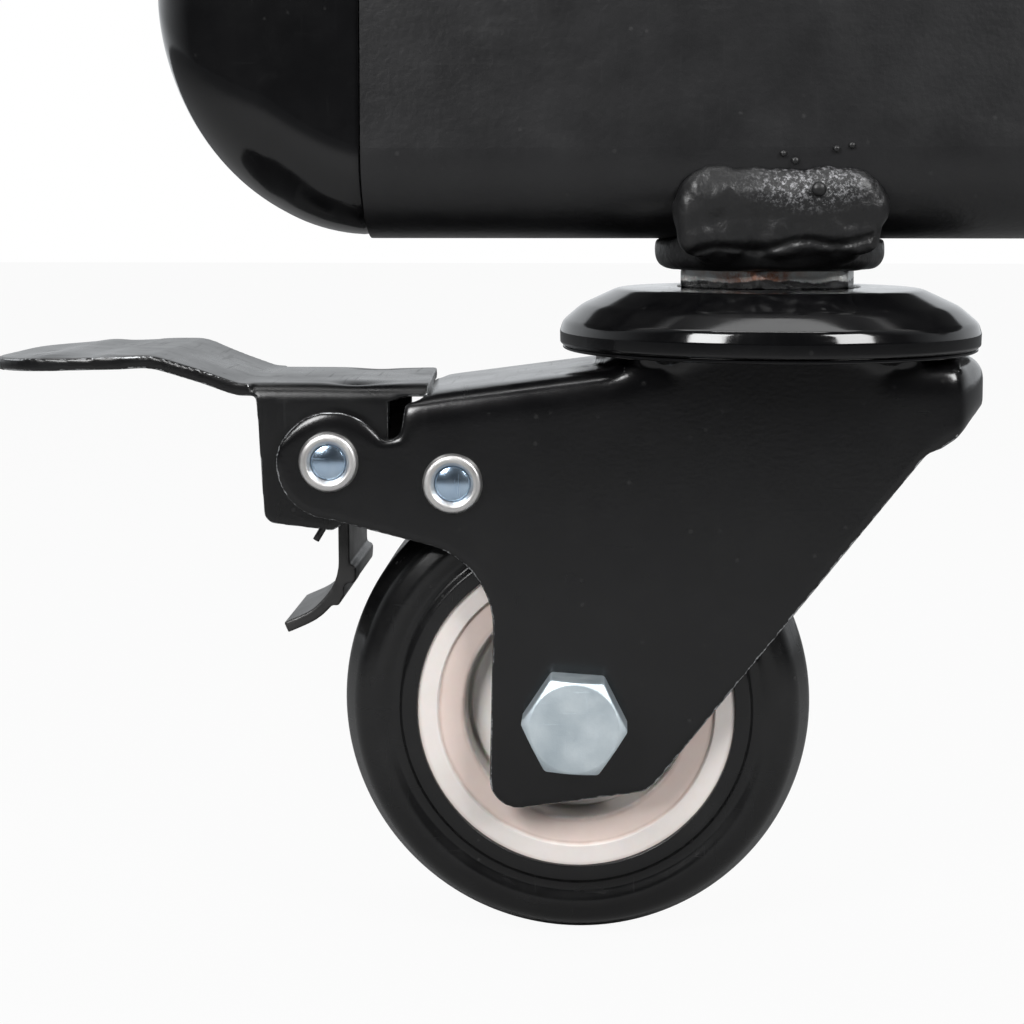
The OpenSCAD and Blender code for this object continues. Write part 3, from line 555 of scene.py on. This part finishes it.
def roundedOutline(points, arcStep=6.0):  # points are (x, y, corner radius)
    made = []
    count = len(points)
    for i, (x, y, r) in enumerate(points):
        here = Vector((x, y))
        if r <= 0:
            made.append((x, y))
            continue
        u = (Vector(points[i - 1][:2]) - here).normalized()
        v = (Vector(points[(i + 1) % count][:2]) - here).normalized()
        half = math.acos(max(-1, min(1, u.dot(v)))) / 2
        centre = here + (u + v).normalized() * r / math.sin(half)
        start = here + u * r / math.tan(half) - centre
        turn = start.angle_signed(here + v * r / math.tan(half) - centre)
        steps = max(2, math.ceil(math.degrees(abs(turn)) / arcStep))
        for k in range(steps + 1):
            spun = start.copy()
            spun.rotate(Matrix.Rotation(-turn * k / steps, 2))
            made.append(tuple(centre + spun))
    return made


def latheMesh(name, outline, centre, along, steps=144, closed=True):  # outline is (radius, distance) in mm
    along = Vector(along)
    side = along.orthogonal().normalized()
    other = along.cross(side)
    verts, faces, rings = [], [], []
    for r, t in outline:
        if r < 1e-6:
            rings.append([len(verts)] * steps)
            verts.append(centre + along * t * mm)
            continue
        rings.append(list(range(len(verts), len(verts) + steps)))
        for k in range(steps):
            a = 2 * math.pi * k / steps
            verts.append(centre + (side * math.cos(a) + other * math.sin(a)) * r * mm + along * t * mm)
    pairs = list(zip(rings, rings[1:])) + ([(rings[-1], rings[0])] if closed else [])
    for lower, upper in pairs:
        for k in range(steps):
            n = (k + 1) % steps
            corners = list(dict.fromkeys((lower[k], lower[n], upper[n], upper[k])))
            if len(corners) > 2:
                faces.append(corners)
    return finishMesh(name, verts, faces)


def finishMesh(name, verts, faces):
    mesh = bpy.data.meshes.new(name)
    mesh.from_pydata([tuple(v) for v in verts], [], faces)
    work = bmesh.new()
    work.from_mesh(mesh)
    bmesh.ops.recalc_face_normals(work, faces=work.faces)
    work.to_mesh(mesh)
    work.free()
    return mesh


def tubeFaces(rings, size):  # faces between rings of points, and one at each end
    faces = []
    for i in range(rings - 1):
        for k in range(size):
            n = (k + 1) % size
            faces.append((i * size + k, i * size + n, (i + 1) * size + n, (i + 1) * size + k))
    last = (rings - 1) * size
    return faces + [tuple(range(size)), tuple(range(last, last + size))]


def addPiece(name, mesh, body, material, nodes=(), sharpAngle=None):
    piece = bpy.data.objects.new(name, mesh)
    bpy.context.collection.objects.link(piece)
    mesh.materials.clear()
    mesh.materials.append(material)
    mesh.shade_smooth()
    if sharpAngle:
        mesh.set_sharp_from_angle(angle=math.radians(sharpAngle))
    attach(piece, body)
    if nodes:
        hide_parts(*nodes)


def voxelSkin(mesh, voxel):  # one closed skin over a mesh, with even faces of the voxel's size
    holder = bpy.data.objects.new("work", mesh)
    bpy.context.collection.objects.link(holder)
    skin = holder.modifiers.new("skin", "REMESH")
    skin.mode = "VOXEL"
    skin.voxel_size = voxel * mm
    skin.adaptivity = 0
    bpy.context.view_layer.update()
    seen = holder.evaluated_get(bpy.context.evaluated_depsgraph_get())
    result = bpy.data.meshes.new_from_object(seen)
    bpy.data.objects.remove(holder)
    return result


def readPoints(mesh):
    flat = np.empty(len(mesh.vertices) * 3, np.float32)
    mesh.vertices.foreach_get("co", flat)
    return flat.reshape(-1, 3).astype(float)


def writePoints(mesh, points):
    mesh.vertices.foreach_set("co", points.astype(np.float32).ravel())
    mesh.update()


def readNormals(mesh):
    flat = np.empty(len(mesh.vertices) * 3, np.float32)
    mesh.vertex_normals.foreach_get("vector", flat)
    return flat.reshape(-1, 3).astype(float)


def setAttribute(mesh, name, values):
    made = mesh.attributes.new(name, "FLOAT", "POINT")
    made.data.foreach_set("value", np.clip(values, 0, 1).astype(np.float32))


def joinedMesh(name, meshes):
    work = bmesh.new()
    for mesh in meshes:
        work.from_mesh(mesh)
    bmesh.ops.remove_doubles(work, verts=work.verts, dist=1e-7)
    made = bpy.data.meshes.new(name)
    work.to_mesh(made)
    work.free()
    return made


def smoothPoints(mesh, points, passes, weights=None):  # moves each point towards its neighbours' mean
    edges = np.empty(len(mesh.edges) * 2, np.int32)
    mesh.edges.foreach_get("vertices", edges)
    a, b = edges.reshape(-1, 2).T
    count = np.bincount(np.concatenate((a, b)), minlength=len(points))[:, None].clip(1)
    share = 0.5 if weights is None else 0.5 * weights[:, None]
    for _ in range(passes):
        total = np.zeros_like(points)
        np.add.at(total, a, points[b])
        np.add.at(total, b, points[a])
        points = points + share * (total / count - points)
    return points


def softSheet(name, sources, voxel, passes, wearDepth=0.09):  # a pressed or cast skin over CAD solids
    skin = voxelSkin(joinedMesh(name, sources), voxel)
    before = readPoints(skin)
    after = smoothPoints(skin, before.copy(), passes)
    writePoints(skin, after)
    out = ((before - after) * readNormals(skin)).sum(1)
    setAttribute(skin, "wear", out / (wearDepth * mm))
    return skin


def cadMesh(node):
    return frame["nodes"][node].data


def ballMesh(at, radius, squeeze):
    work = bmesh.new()
    bmesh.ops.create_icosphere(work, subdivisions=3, radius=radius * mm)
    bmesh.ops.scale(work, vec=squeeze, verts=work.verts)
    bmesh.ops.translate(work, vec=at, verts=work.verts)
    mesh = bpy.data.meshes.new("ball")
    work.to_mesh(mesh)
    work.free()
    return mesh


def bell(distance, width):
    return np.exp(-(distance / width) ** 2)


def casterCoords(points):  # metres in the row's frame to millimetres from under the stem
    return (points - np.array([stemX, 0, floorZ])) / mm


def rowCoords(points):
    return points * mm + np.array([stemX, 0, floorZ])


# fork

forkSetup = {
    "voxel": 0.42,
    "passes": 3,
    "blendPasses": 60,  # how far the crown flows into the legs
    "dents": ((16, -33, 89.5, 0.35, 3.0), (22.5, -30, 86.0, 0.3, 2.6)),  # x, y, z, depth, width
}


def makeFork(setup):
    mesh = softSheet("fork", [cadMesh("fork")], setup["voxel"], setup["passes"])
    p = casterCoords(readPoints(mesh))
    reach = np.hypot(p[:, 0], p[:, 1])
    shoulder = np.clip((p[:, 2] - 80) / 5, 0, 1) * np.clip((96.0 - p[:, 2]) / 1.5, 0, 1)
    shoulder *= np.clip((reach - 21) / 5, 0, 1) * np.clip((np.abs(p[:, 1]) - 9) / 6, 0, 1)
    p = smoothPoints(mesh, p, setup["blendPasses"], shoulder)
    for x, y, z, depth, width in setup["dents"]:
        away = np.linalg.norm(p - np.array([x, y, z]), axis=1)
        p[:, 1] += depth * bell(away, width)
    writePoints(mesh, rowCoords(p))
    addPiece("forkSheet", mesh, "swivel_fork", forkPaint, ["fork"])


makeFork(forkSetup)
say("fork is pressed")


# pedal

pedalSetup = {
    "voxel": 0.36,
    "passes": 3,
    "treadTop": 94.0,
    "tailGrowth": 2.2,  # how far the plate reaches over the start of the fork's web
    "treadRibs": ((-113, 0.55, 3.2), (-101.5, 0.6, 3.6)),  # x, height, half length
    "topSlot": (-65.5, -13.0, 1.0, 3.6, 2.0),  # x, y, depth, half length, half width
}


def makePedal(setup):
    mesh = softSheet("pedal", [cadMesh("brake_pedal")], setup["voxel"], setup["passes"])
    p = casterCoords(readPoints(mesh))
    upper = readNormals(mesh)[:, 2] > 0.3
    fromSides = np.clip((21.0 - np.abs(p[:, 1])) / 3, 0, 1)
    for x, rise, half in setup["treadRibs"]:
        p[:, 2] += upper * rise * bell(p[:, 0] - x, half) * fromSides * 0.8
    x, y, depth, half, width = setup["topSlot"]
    for flip in (1, -1):
        p[:, 2] -= upper * depth * bell(p[:, 0] - x, half) * bell(p[:, 1] - y * flip, width)
    p[:, 2] = np.minimum(p[:, 2], setup["treadTop"])
    tail = np.clip((p[:, 0] + 62.5) / 3, 0, 1) * np.clip((p[:, 2] - 86.6) / 0.6, 0, 1)
    p[:, 0] += setup["tailGrowth"] * tail
    writePoints(mesh, rowCoords(p))
    addPiece("pedalSheet", mesh, "brake", pedalPaint, ["brake_pedal"])


shoeSetup = {"voxel": 0.3, "passes": 2}


def makeShoe(setup):
    mesh = softSheet("shoe", [cadMesh("brake_shoe")], setup["voxel"], setup["passes"])
    addPiece("shoeBlade", mesh, "brake", shoePaint, ["brake_shoe"])


makePedal(pedalSetup)
makeShoe(shoeSetup)
say("pedal and shoe are bent")


# brake spring

springSetup = {
    "turns": 3.0, "wire": 0.55, "coil": 5.6, "startAngle": 0.9 * math.pi,
    "legLength": 9.4, "legAim": (-0.6, 0, -1),
}


def tubeMesh(name, path, radius, sides=12):
    verts = []
    frameSide = Vector((0, 1, 0.01))
    for i, point in enumerate(path):
        along = (path[min(i + 1, len(path) - 1)] - path[max(i - 1, 0)]).normalized()
        frameSide = (frameSide - along * frameSide.dot(along)).normalized()
        other = along.cross(frameSide)
        for k in range(sides):
            a = 2 * math.pi * k / sides
            verts.append(point + (frameSide * math.cos(a) + other * math.sin(a)) * radius * mm)
    return finishMesh(name, verts, tubeFaces(len(path), sides))


def makeSpring(setup):
    low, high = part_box("brake_spring")
    path = []
    first = high.y - setup["wire"] * mm
    last = low.y + setup["wire"] * mm
    steps = int(setup["turns"] * 48)
    for k in range(steps + 1):
        a = setup["startAngle"] + 2 * math.pi * setup["turns"] * k / steps
        path.append(Vector((pivot.x + setup["coil"] * mm * math.sin(a), first + (last - first) * k / steps,
                            pivot.z + setup["coil"] * mm * math.cos(a))))
    down = Vector(setup["legAim"]).normalized()
    path += [path[-1] + down * setup["legLength"] * mm * t / 10 for t in range(1, 11)]
    mesh = tubeMesh("spring", path, setup["wire"])
    addPiece("springWire", mesh, "brake", shoePaint, ["brake_spring"])


makeSpring(springSetup)


# tyre

tyreSetup = {"half": 15.5, "radius": 37.5, "bond": 25.1, "lip": 2.3, "groove": 0.95}


def makeTyre(setup):
    half, r, bond = setup["half"], setup["radius"], setup["bond"]
    outside = [(bond + 0.15, -half, 0.14), (bond + setup["lip"], -half, 0.7), (bond + 3.1, -half + 0.85, 0.9),
               (bond + 4.3, -half + setup["groove"], 1.5), (bond + 6.4, -half + 0.02, 3.0),
               (r - 2.6, -half + 1.45, 4.0), (r, -half + 6.4, 5.0), (r, -0.35, 0.2), (r - 0.12, 0, 0.1)]
    mirrored = [(x, -y, c) for x, y, c in reversed(outside[:-1])]
    # the tyre's inner face, proud of the core in the middle
    lining = [(bond, half * 0.97, 0), (bond + 1.6, half * 0.72, 1),
              (bond + 1.6, -half * 0.72, 1), (bond, -half * 0.97, 0)]
    outline = roundedOutline(outside + mirrored + lining, 4.0)
    ring = latheMesh("tyre", outline, axle, (0, 1, 0), 192)
    addPiece("tyreRing", ring, "wheel", tyreRubber, ["tyre"])


makeTyre(tyreSetup)
say("tyre is turned")


# rivets

rivetSetup = {"head": 4.7, "bore": 2.85, "height": 1.5}


def makeRivet(name, at, setup):
    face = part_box(name + "_rivet")[1].y / mm
    base = face - setup["height"]
    bore, head = setup["bore"], setup["head"]
    top = [(bore, base - 0.5, 0), (bore, face - 0.75, 0.2), (bore + 0.5, face - 0.1, 0.4), (3.7, face, 0.5),
           (head - 0.35, face - 0.15, 0.6), (head, base + 0.45, 0.5),
           (head - 0.1, base, 0.05), (3.2, base, 0)]
    outline = top + [(x, -y, c) for x, y, c in reversed(top)]
    ring = latheMesh(name, roundedOutline(outline, 5.0), at, (0, 1, 0), 96)
    addPiece(name + "RivetRing", ring, "swivel_fork", rivetMetal, [name + "_rivet"])
    # the pin inside, with its low dome
    crown = [(0, face - 0.3), (0.7, face - 0.33), (1.4, face - 0.43), (2.0, face - 0.58), (2.5, face - 0.76),
             (2.75, face - 0.9), (2.8, face - 1.1), (2.8, base - 0.2)]
    outline = crown + [(x, -y) for x, y in reversed(crown)]
    core = latheMesh(name + "Core", outline, at, (0, 1, 0), 72, closed=False)
    addPiece(name + "RivetCore", core, "swivel_fork", blueDome, [name + "_core"])


def nodeCentre(node):
    low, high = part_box(node)
    return (low + high) / 2


makeRivet("pivot", nodeCentre("pivot_rivet"), rivetSetup)
makeRivet("stop", nodeCentre("stop_rivet"), rivetSetup)


# hexagon heads

def hexRadius(angle, flat, soft):  # radius of a hexagon with slightly blunted corners
    a = (angle % (math.pi / 3)) - math.pi / 6
    return min(flat / 2 / math.cos(a), flat / 2 / math.cos(math.pi / 6) - soft)


def hexMesh(name, centre, along, flat, height, chamfer, turn, hole=0.0, bothEnds=False, steps=240):
    along = Vector(along)
    side = Vector((0, 0, 1)) if abs(along.z) < 0.5 else Vector((1, 0, 0))
    other = along.cross(side)
    ring = flat / 2 * chamfer
    slope = 0.56  # of the chamfer
    soft = 0.12  # how much the corners are blunted
    columns = []
    for k in range(steps):
        a = 2 * math.pi * k / steps
        r = hexRadius(a - math.radians(turn), flat, soft)
        drop = max(0.0, (r - ring) * slope)
        column = [(hole, height), (ring * 0.6, height), (ring - 0.12, height), (ring + 0.02, height - 0.03),
                  (max(ring + 0.05, r - 0.1), height - max(0.05, drop - 0.06)), (r, height - drop - 0.12)]
        if bothEnds:
            column += [(r, drop + 0.12), (max(ring + 0.05, r - 0.1), max(0.05, drop - 0.06)),
                       (ring + 0.02, 0.03), (ring - 0.12, 0.0), (hole, 0.0)]
        else:
            column += [(r, height * 0.4), (r, 0.08), (r - 0.08, 0.0), (hole, 0.0)]
        columns.append((a, column))
    rows = len(columns[0][1])
    verts, faces = [], []
    for a, column in columns:
        spoke = side * math.cos(a) + other * math.sin(a)
        verts += [centre + spoke * max(r, 0.001) * mm + along * t * mm for r, t in column]
    for k in range(steps):
        n = (k + 1) % steps
        for i in range(rows - 1):
            faces.append((k * rows + i, n * rows + i, n * rows + i + 1, k * rows + i + 1))
        if hole > 0:
            faces.append((k * rows + rows - 1, n * rows + rows - 1, n * rows, k * rows))
    return finishMesh(name, verts, faces)


def threadMesh(name, centre, along, start, end, radius, pitch, steps=48):
    along = Vector(along)
    side = along.orthogonal().normalized()
    other = along.cross(side)
    rows = int((end - start) / pitch * 10)
    verts = []
    for i in range(rows + 1):
        for k in range(steps):
            a = 2 * math.pi * k / steps
            t = start + (end - start) * i / rows
            wave = abs(((t / pitch + k / steps) % 1.0) - 0.5) * 2
            taper = min(1.0, max(0.0, (end - t) / 0.9))
            r = radius - 0.85 * wave - (1 - taper) * 0.8
            verts.append(centre + (side * math.cos(a) + other * math.sin(a)) * r * mm + along * t * mm)
    return finishMesh(name, verts, tubeFaces(rows + 1, steps))


# axle bolt and its lock nut

boltSetup = {"flat": 14.3, "height": 6.0, "chamfer": 0.955, "turn": 26.6, "thread": 9.5, "pitch": 1.58}
nutSetup = {"flat": 14.3, "chamfer": 0.95, "turn": 26.6, "bore": 4.85}


def makeBolt(setup):
    low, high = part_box("axle_bolt")
    faceY = low.y / mm + setup["height"]
    head = hexMesh("head", Vector((axle.x, faceY * mm, axle.z)), (0, -1, 0), setup["flat"], setup["height"],
                   setup["chamfer"], setup["turn"])
    shank = threadMesh("shank", axle, (0, 1, 0), faceY + 0.2, high.y / mm, setup["thread"] / 2,
                       setup["pitch"])
    bolt = joinedMesh("bolt", [head, shank])
    addPiece("axleBoltHex", bolt, "swivel_fork", zincPlate, ["axle_bolt"], 40)


def makeNut(setup):
    low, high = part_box("axle_nut")
    height = (high.y - low.y) / mm
    foot = Vector((axle.x, low.y, axle.z))
    hexagon = hexMesh("nut", foot, (0, 1, 0), setup["flat"], height - 2, setup["chamfer"], setup["turn"], 4.8)
    bore = setup["bore"]
    collar = [(bore, height - 3.4, 0), (6.1, height - 3.4, 0), (6.0, height - 1.0, 0.8),
              (5.4, height, 0.7), (bore, height, 0.3)]
    collar = latheMesh("collar", roundedOutline(collar), foot, (0, 1, 0), 96)
    nut = joinedMesh("nut", [hexagon, collar])
    addPiece("axleNutHex", nut, "swivel_fork", zincPlate, ["axle_nut"], 40)


makeBolt(boltSetup)
makeNut(nutSetup)
say("rivets, bolt and nut are in")


# cover and stem

coverSetup = {"bore": 6.3, "sheet": 2.0}


def makeCover(setup):
    low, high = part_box("dust_cover")
    centre = Vector((stemX, 0, 0))
    top, bottom, rim = high.z / mm, low.z / mm, (high.x - stemX) / mm
    # the slope bulges a little and rolls under at the rim
    bore, under = setup["bore"], top - setup["sheet"]
    outline = [(bore, top, 0), (18.0, top, 2), (24.6, top - 0.3, 4), (30.4, top - 3.0, 7),
               (rim - 0.5, top - 5.6, 2), (rim, bottom + 2.4, 1.0), (rim - 0.05, bottom + 0.5, 0.5),
               (rim - 0.7, bottom, 0.35), (rim - 1.9, bottom + 0.1, 0.3), (rim - 2.0, bottom + 2.6, 0.8),
               (28.6, top - 5.6, 4), (20.4, under, 2), (bore, under, 0)]
    dome = latheMesh("cover", roundedOutline(outline, 4.0), centre, (0, 0, 1), 220)
    addPiece("dustCoverDome", dome, "frame", coverPaint, ["dust_cover"])


makeCover(coverSetup)

stemSetup = {"flat": 26.6, "turn": 19.4, "chamfer": 1.11, "thread": 12.0, "pitch": 1.75, "journal": 5.95}


def makeStem(setup):
    low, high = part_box("threaded_stem")
    foot = low.z / mm
    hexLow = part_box("dust_cover")[1].z / mm
    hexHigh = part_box("weld_bush")[0].z / mm
    centre = Vector((stemX, 0, 0))
    collar = hexMesh("collar", Vector((stemX, 0, hexLow * mm)), (0, 0, 1), setup["flat"], hexHigh - hexLow,
                     setup["chamfer"], setup["turn"], bothEnds=True)
    thread = threadMesh("thread", centre, (0, 0, 1), hexHigh - 0.2, high.z / mm, setup["thread"] / 2,
                        setup["pitch"])
    r = setup["journal"]
    journal = [(0, foot, 0), (5.3, foot, 0), (r, foot + 0.8, 0.3), (r, hexLow + 0.3, 0), (0, hexLow + 0.3, 0)]
    journal = latheMesh("journal", roundedOutline(journal), centre, (0, 0, 1), 72)
    stem = joinedMesh("stem", [collar, thread, journal])
    addPiece("stemHex", stem, "frame", stemSteel, ["threaded_stem"], 40)


makeStem(stemSetup)
say("cover and stem are in")


# weld

weldSetup = {
    "voxel": 0.45,
    "passes": 14,
    "lumps": (  # along the rail, height, radius
        (-13.0, 116.3, 3.8), (-9.5, 119.5, 4.2), (-4.5, 119.0, 4.6), (1.5, 118.2, 4.8), (7.0, 118.6, 4.8),
        (11.5, 118.4, 4.4), (13.4, 116.6, 3.5), (-12.0, 112.5, 3.6), (12.0, 113.0, 3.6), (0, 113.4, 4.4),
        (-6.5, 114.0, 4.2), (6.5, 114.0, 4.2),
    ),
    "spatter": (
        (5.6, 119.6, 1.15), (2.2, 123.9, 0.6), (8.4, 125.7, 0.55), (10.7, 126.2, 0.5), (0.4, 125.0, 0.5),
    ),
}


def makeWeld(setup):
    drops = []
    for side in (-1, 1):
        for x, z, r in setup["lumps"]:
            drops.append(ballMesh(casterPoint(-x * side, side * 19.0, z), r, (1, 0.62, 1)))
    sources = [cadMesh("weld_bush"), cadMesh("bush_welds")] + drops
    mesh = softSheet("weld", sources, setup["voxel"], setup["passes"])
    p = casterCoords(readPoints(mesh))
    n = readNormals(mesh)
    rough = np.array([noise.fractal(Vector(q) * 0.2, 1.3, 2.0, 3) for q in p])
    fine = np.array([noise.noise(Vector(q) * 1.1) for q in p])
    ripple = np.sin((p[:, 0] + 0.35 * (p[:, 2] - 112)) * 2.4) * np.clip((p[:, 2] - 114) / 4, 0, 1)
    onFace = np.clip((np.abs(p[:, 1]) - 17.5) / 2, 0, 1)
    p += n * (0.42 * rough + 0.05 * fine + 0.05 * ripple * onFace)[:, None] * (0.25 + 0.75 * onFace)[:, None]
    # a crease along the foot of the bead, and a patch where the paint didn't hold
    crease = bell(p[:, 2] - (110.6 + 0.08 * (p[:, 0] + 6) + 0.5 * np.sin(p[:, 0] * 0.5)), 0.7)
    p[:, 1] -= np.sign(p[:, 1]) * 0.8 * crease * onFace * (np.abs(p[:, 0]) < 14)
    bare = bell(np.hypot((p[:, 0] - 4.5) / 8.5, (p[:, 2] - 120.5) / 3.6), 0.9) * (p[:, 1] < 0)
    writePoints(mesh, rowCoords(p))
    setAttribute(mesh, "bare", bare)
    addPiece("bushWeldBlob", mesh, "frame", weldSteel, ["weld_bush", "bush_welds"])
    beads = []
    for x, z, r in setup["spatter"]:
        face = -20.2 - (2.0 if z < 122 else 0)  # the lower drop sits on the bead, the others on the rail
        beads.append(ballMesh(casterPoint(x, face, z), r, (1, 0.7, 1)))
    addPiece("weldSpatter", joinedMesh("spatter", beads), "frame", weldSteel)


makeWeld(weldSetup)
say("weld is laid")


# end cap

capSetup = {
    "rows": 40, "cornerSteps": 18, "flatSteps": 10,
    "edge": 0.5, "corner": 13.7, "fullness": 2.6,  # fullness of the nose, seen from above
    "seam": 0.3,
}


def capSection(u, w, h, setup):  # a rounded rectangle shrunk towards the nose
    steps, flats, corner, power = (setup[key] for key in ("cornerSteps", "flatSteps", "corner", "fullness"))
    halfW = w / 2 * (1 - u ** power) ** (1 / power)
    halfH = h / 2 * math.sqrt(max(0.0, 1 - u * u))
    r = min(min(halfW, halfH) * 0.985, corner + (w / 2 - corner) * 2 * u)
    points = []
    for i in range(4):
        cx = (halfW - r) * (1, -1, -1, 1)[i]
        cz = (halfH - r) * (1, 1, -1, -1)[i]
        for a in range(steps + 1):
            angle = math.pi / 2 * (i + a / steps)
            points.append((cx + r * math.cos(angle), cz + r * math.sin(angle)))
        nx = (halfW - r) * (1, -1, -1, 1)[(i + 1) % 4]
        nz = (halfH - r) * (1, 1, -1, -1)[(i + 1) % 4]
        angle = math.pi / 2 * (i + 1)
        last = points[-1]
        to = (nx + r * math.cos(angle), nz + r * math.sin(angle))
        for a in range(1, flats):
            points.append((last[0] + (to[0] - last[0]) * a / flats,
                           last[1] + (to[1] - last[1]) * a / flats))
    return points


def makeCap(setup):
    low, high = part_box("end_cap")
    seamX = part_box("frame_rail")[0].x - setup["seam"] * mm
    depth = seamX - low.x
    w, h = (high.y - low.y) / mm, (high.z - low.z) / mm
    verts = []
    rows = setup["rows"]
    stations = [0.0, 0.012, 0.03] + [math.sin(math.pi / 2 * (i / rows)) for i in range(2, rows + 1)]
    stations[-1] = 0.9992  # the nose ends in a face, not in a point
    for u in stations:
        grow = -setup["edge"] * (1 - min(1, u / 0.03)) ** 2
        for y, z in capSection(u, w + grow, h + grow, setup):
            verts.append((seamX - depth * u, y * mm, z * mm))
    ring = len(verts) // len(stations)
    dome = finishMesh("cap", verts, tubeFaces(len(stations), ring))
    addPiece("endCapDome", dome, "frame", capPlastic, ["end_cap"], 50)


makeCap(capSetup)
say("end cap is fitted")


# CAD nodes that stay

kept = {
    "frame_rail": railPaint, "dust_ring": coverPaint, "lower_race": nutSteel, "swivel_nut": nutSteel,
    "upper_balls": groundSteel, "lower_balls": groundSteel, "axle_sleeve": groundSteel,
    "bearing_inner_rings": groundSteel, "bearing_outer_rings": groundSteel, "bearing_balls": groundSteel,
    "wheel_core": nylon, "hub_caps": nylon, "stop_spacers": rivetMetal, "shoe_screws": nutSteel,
}
for nodeName, material in kept.items():
    piece = frame["nodes"][nodeName]
    for place in piece.material_slots:
        place.material = material

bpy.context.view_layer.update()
say("done")
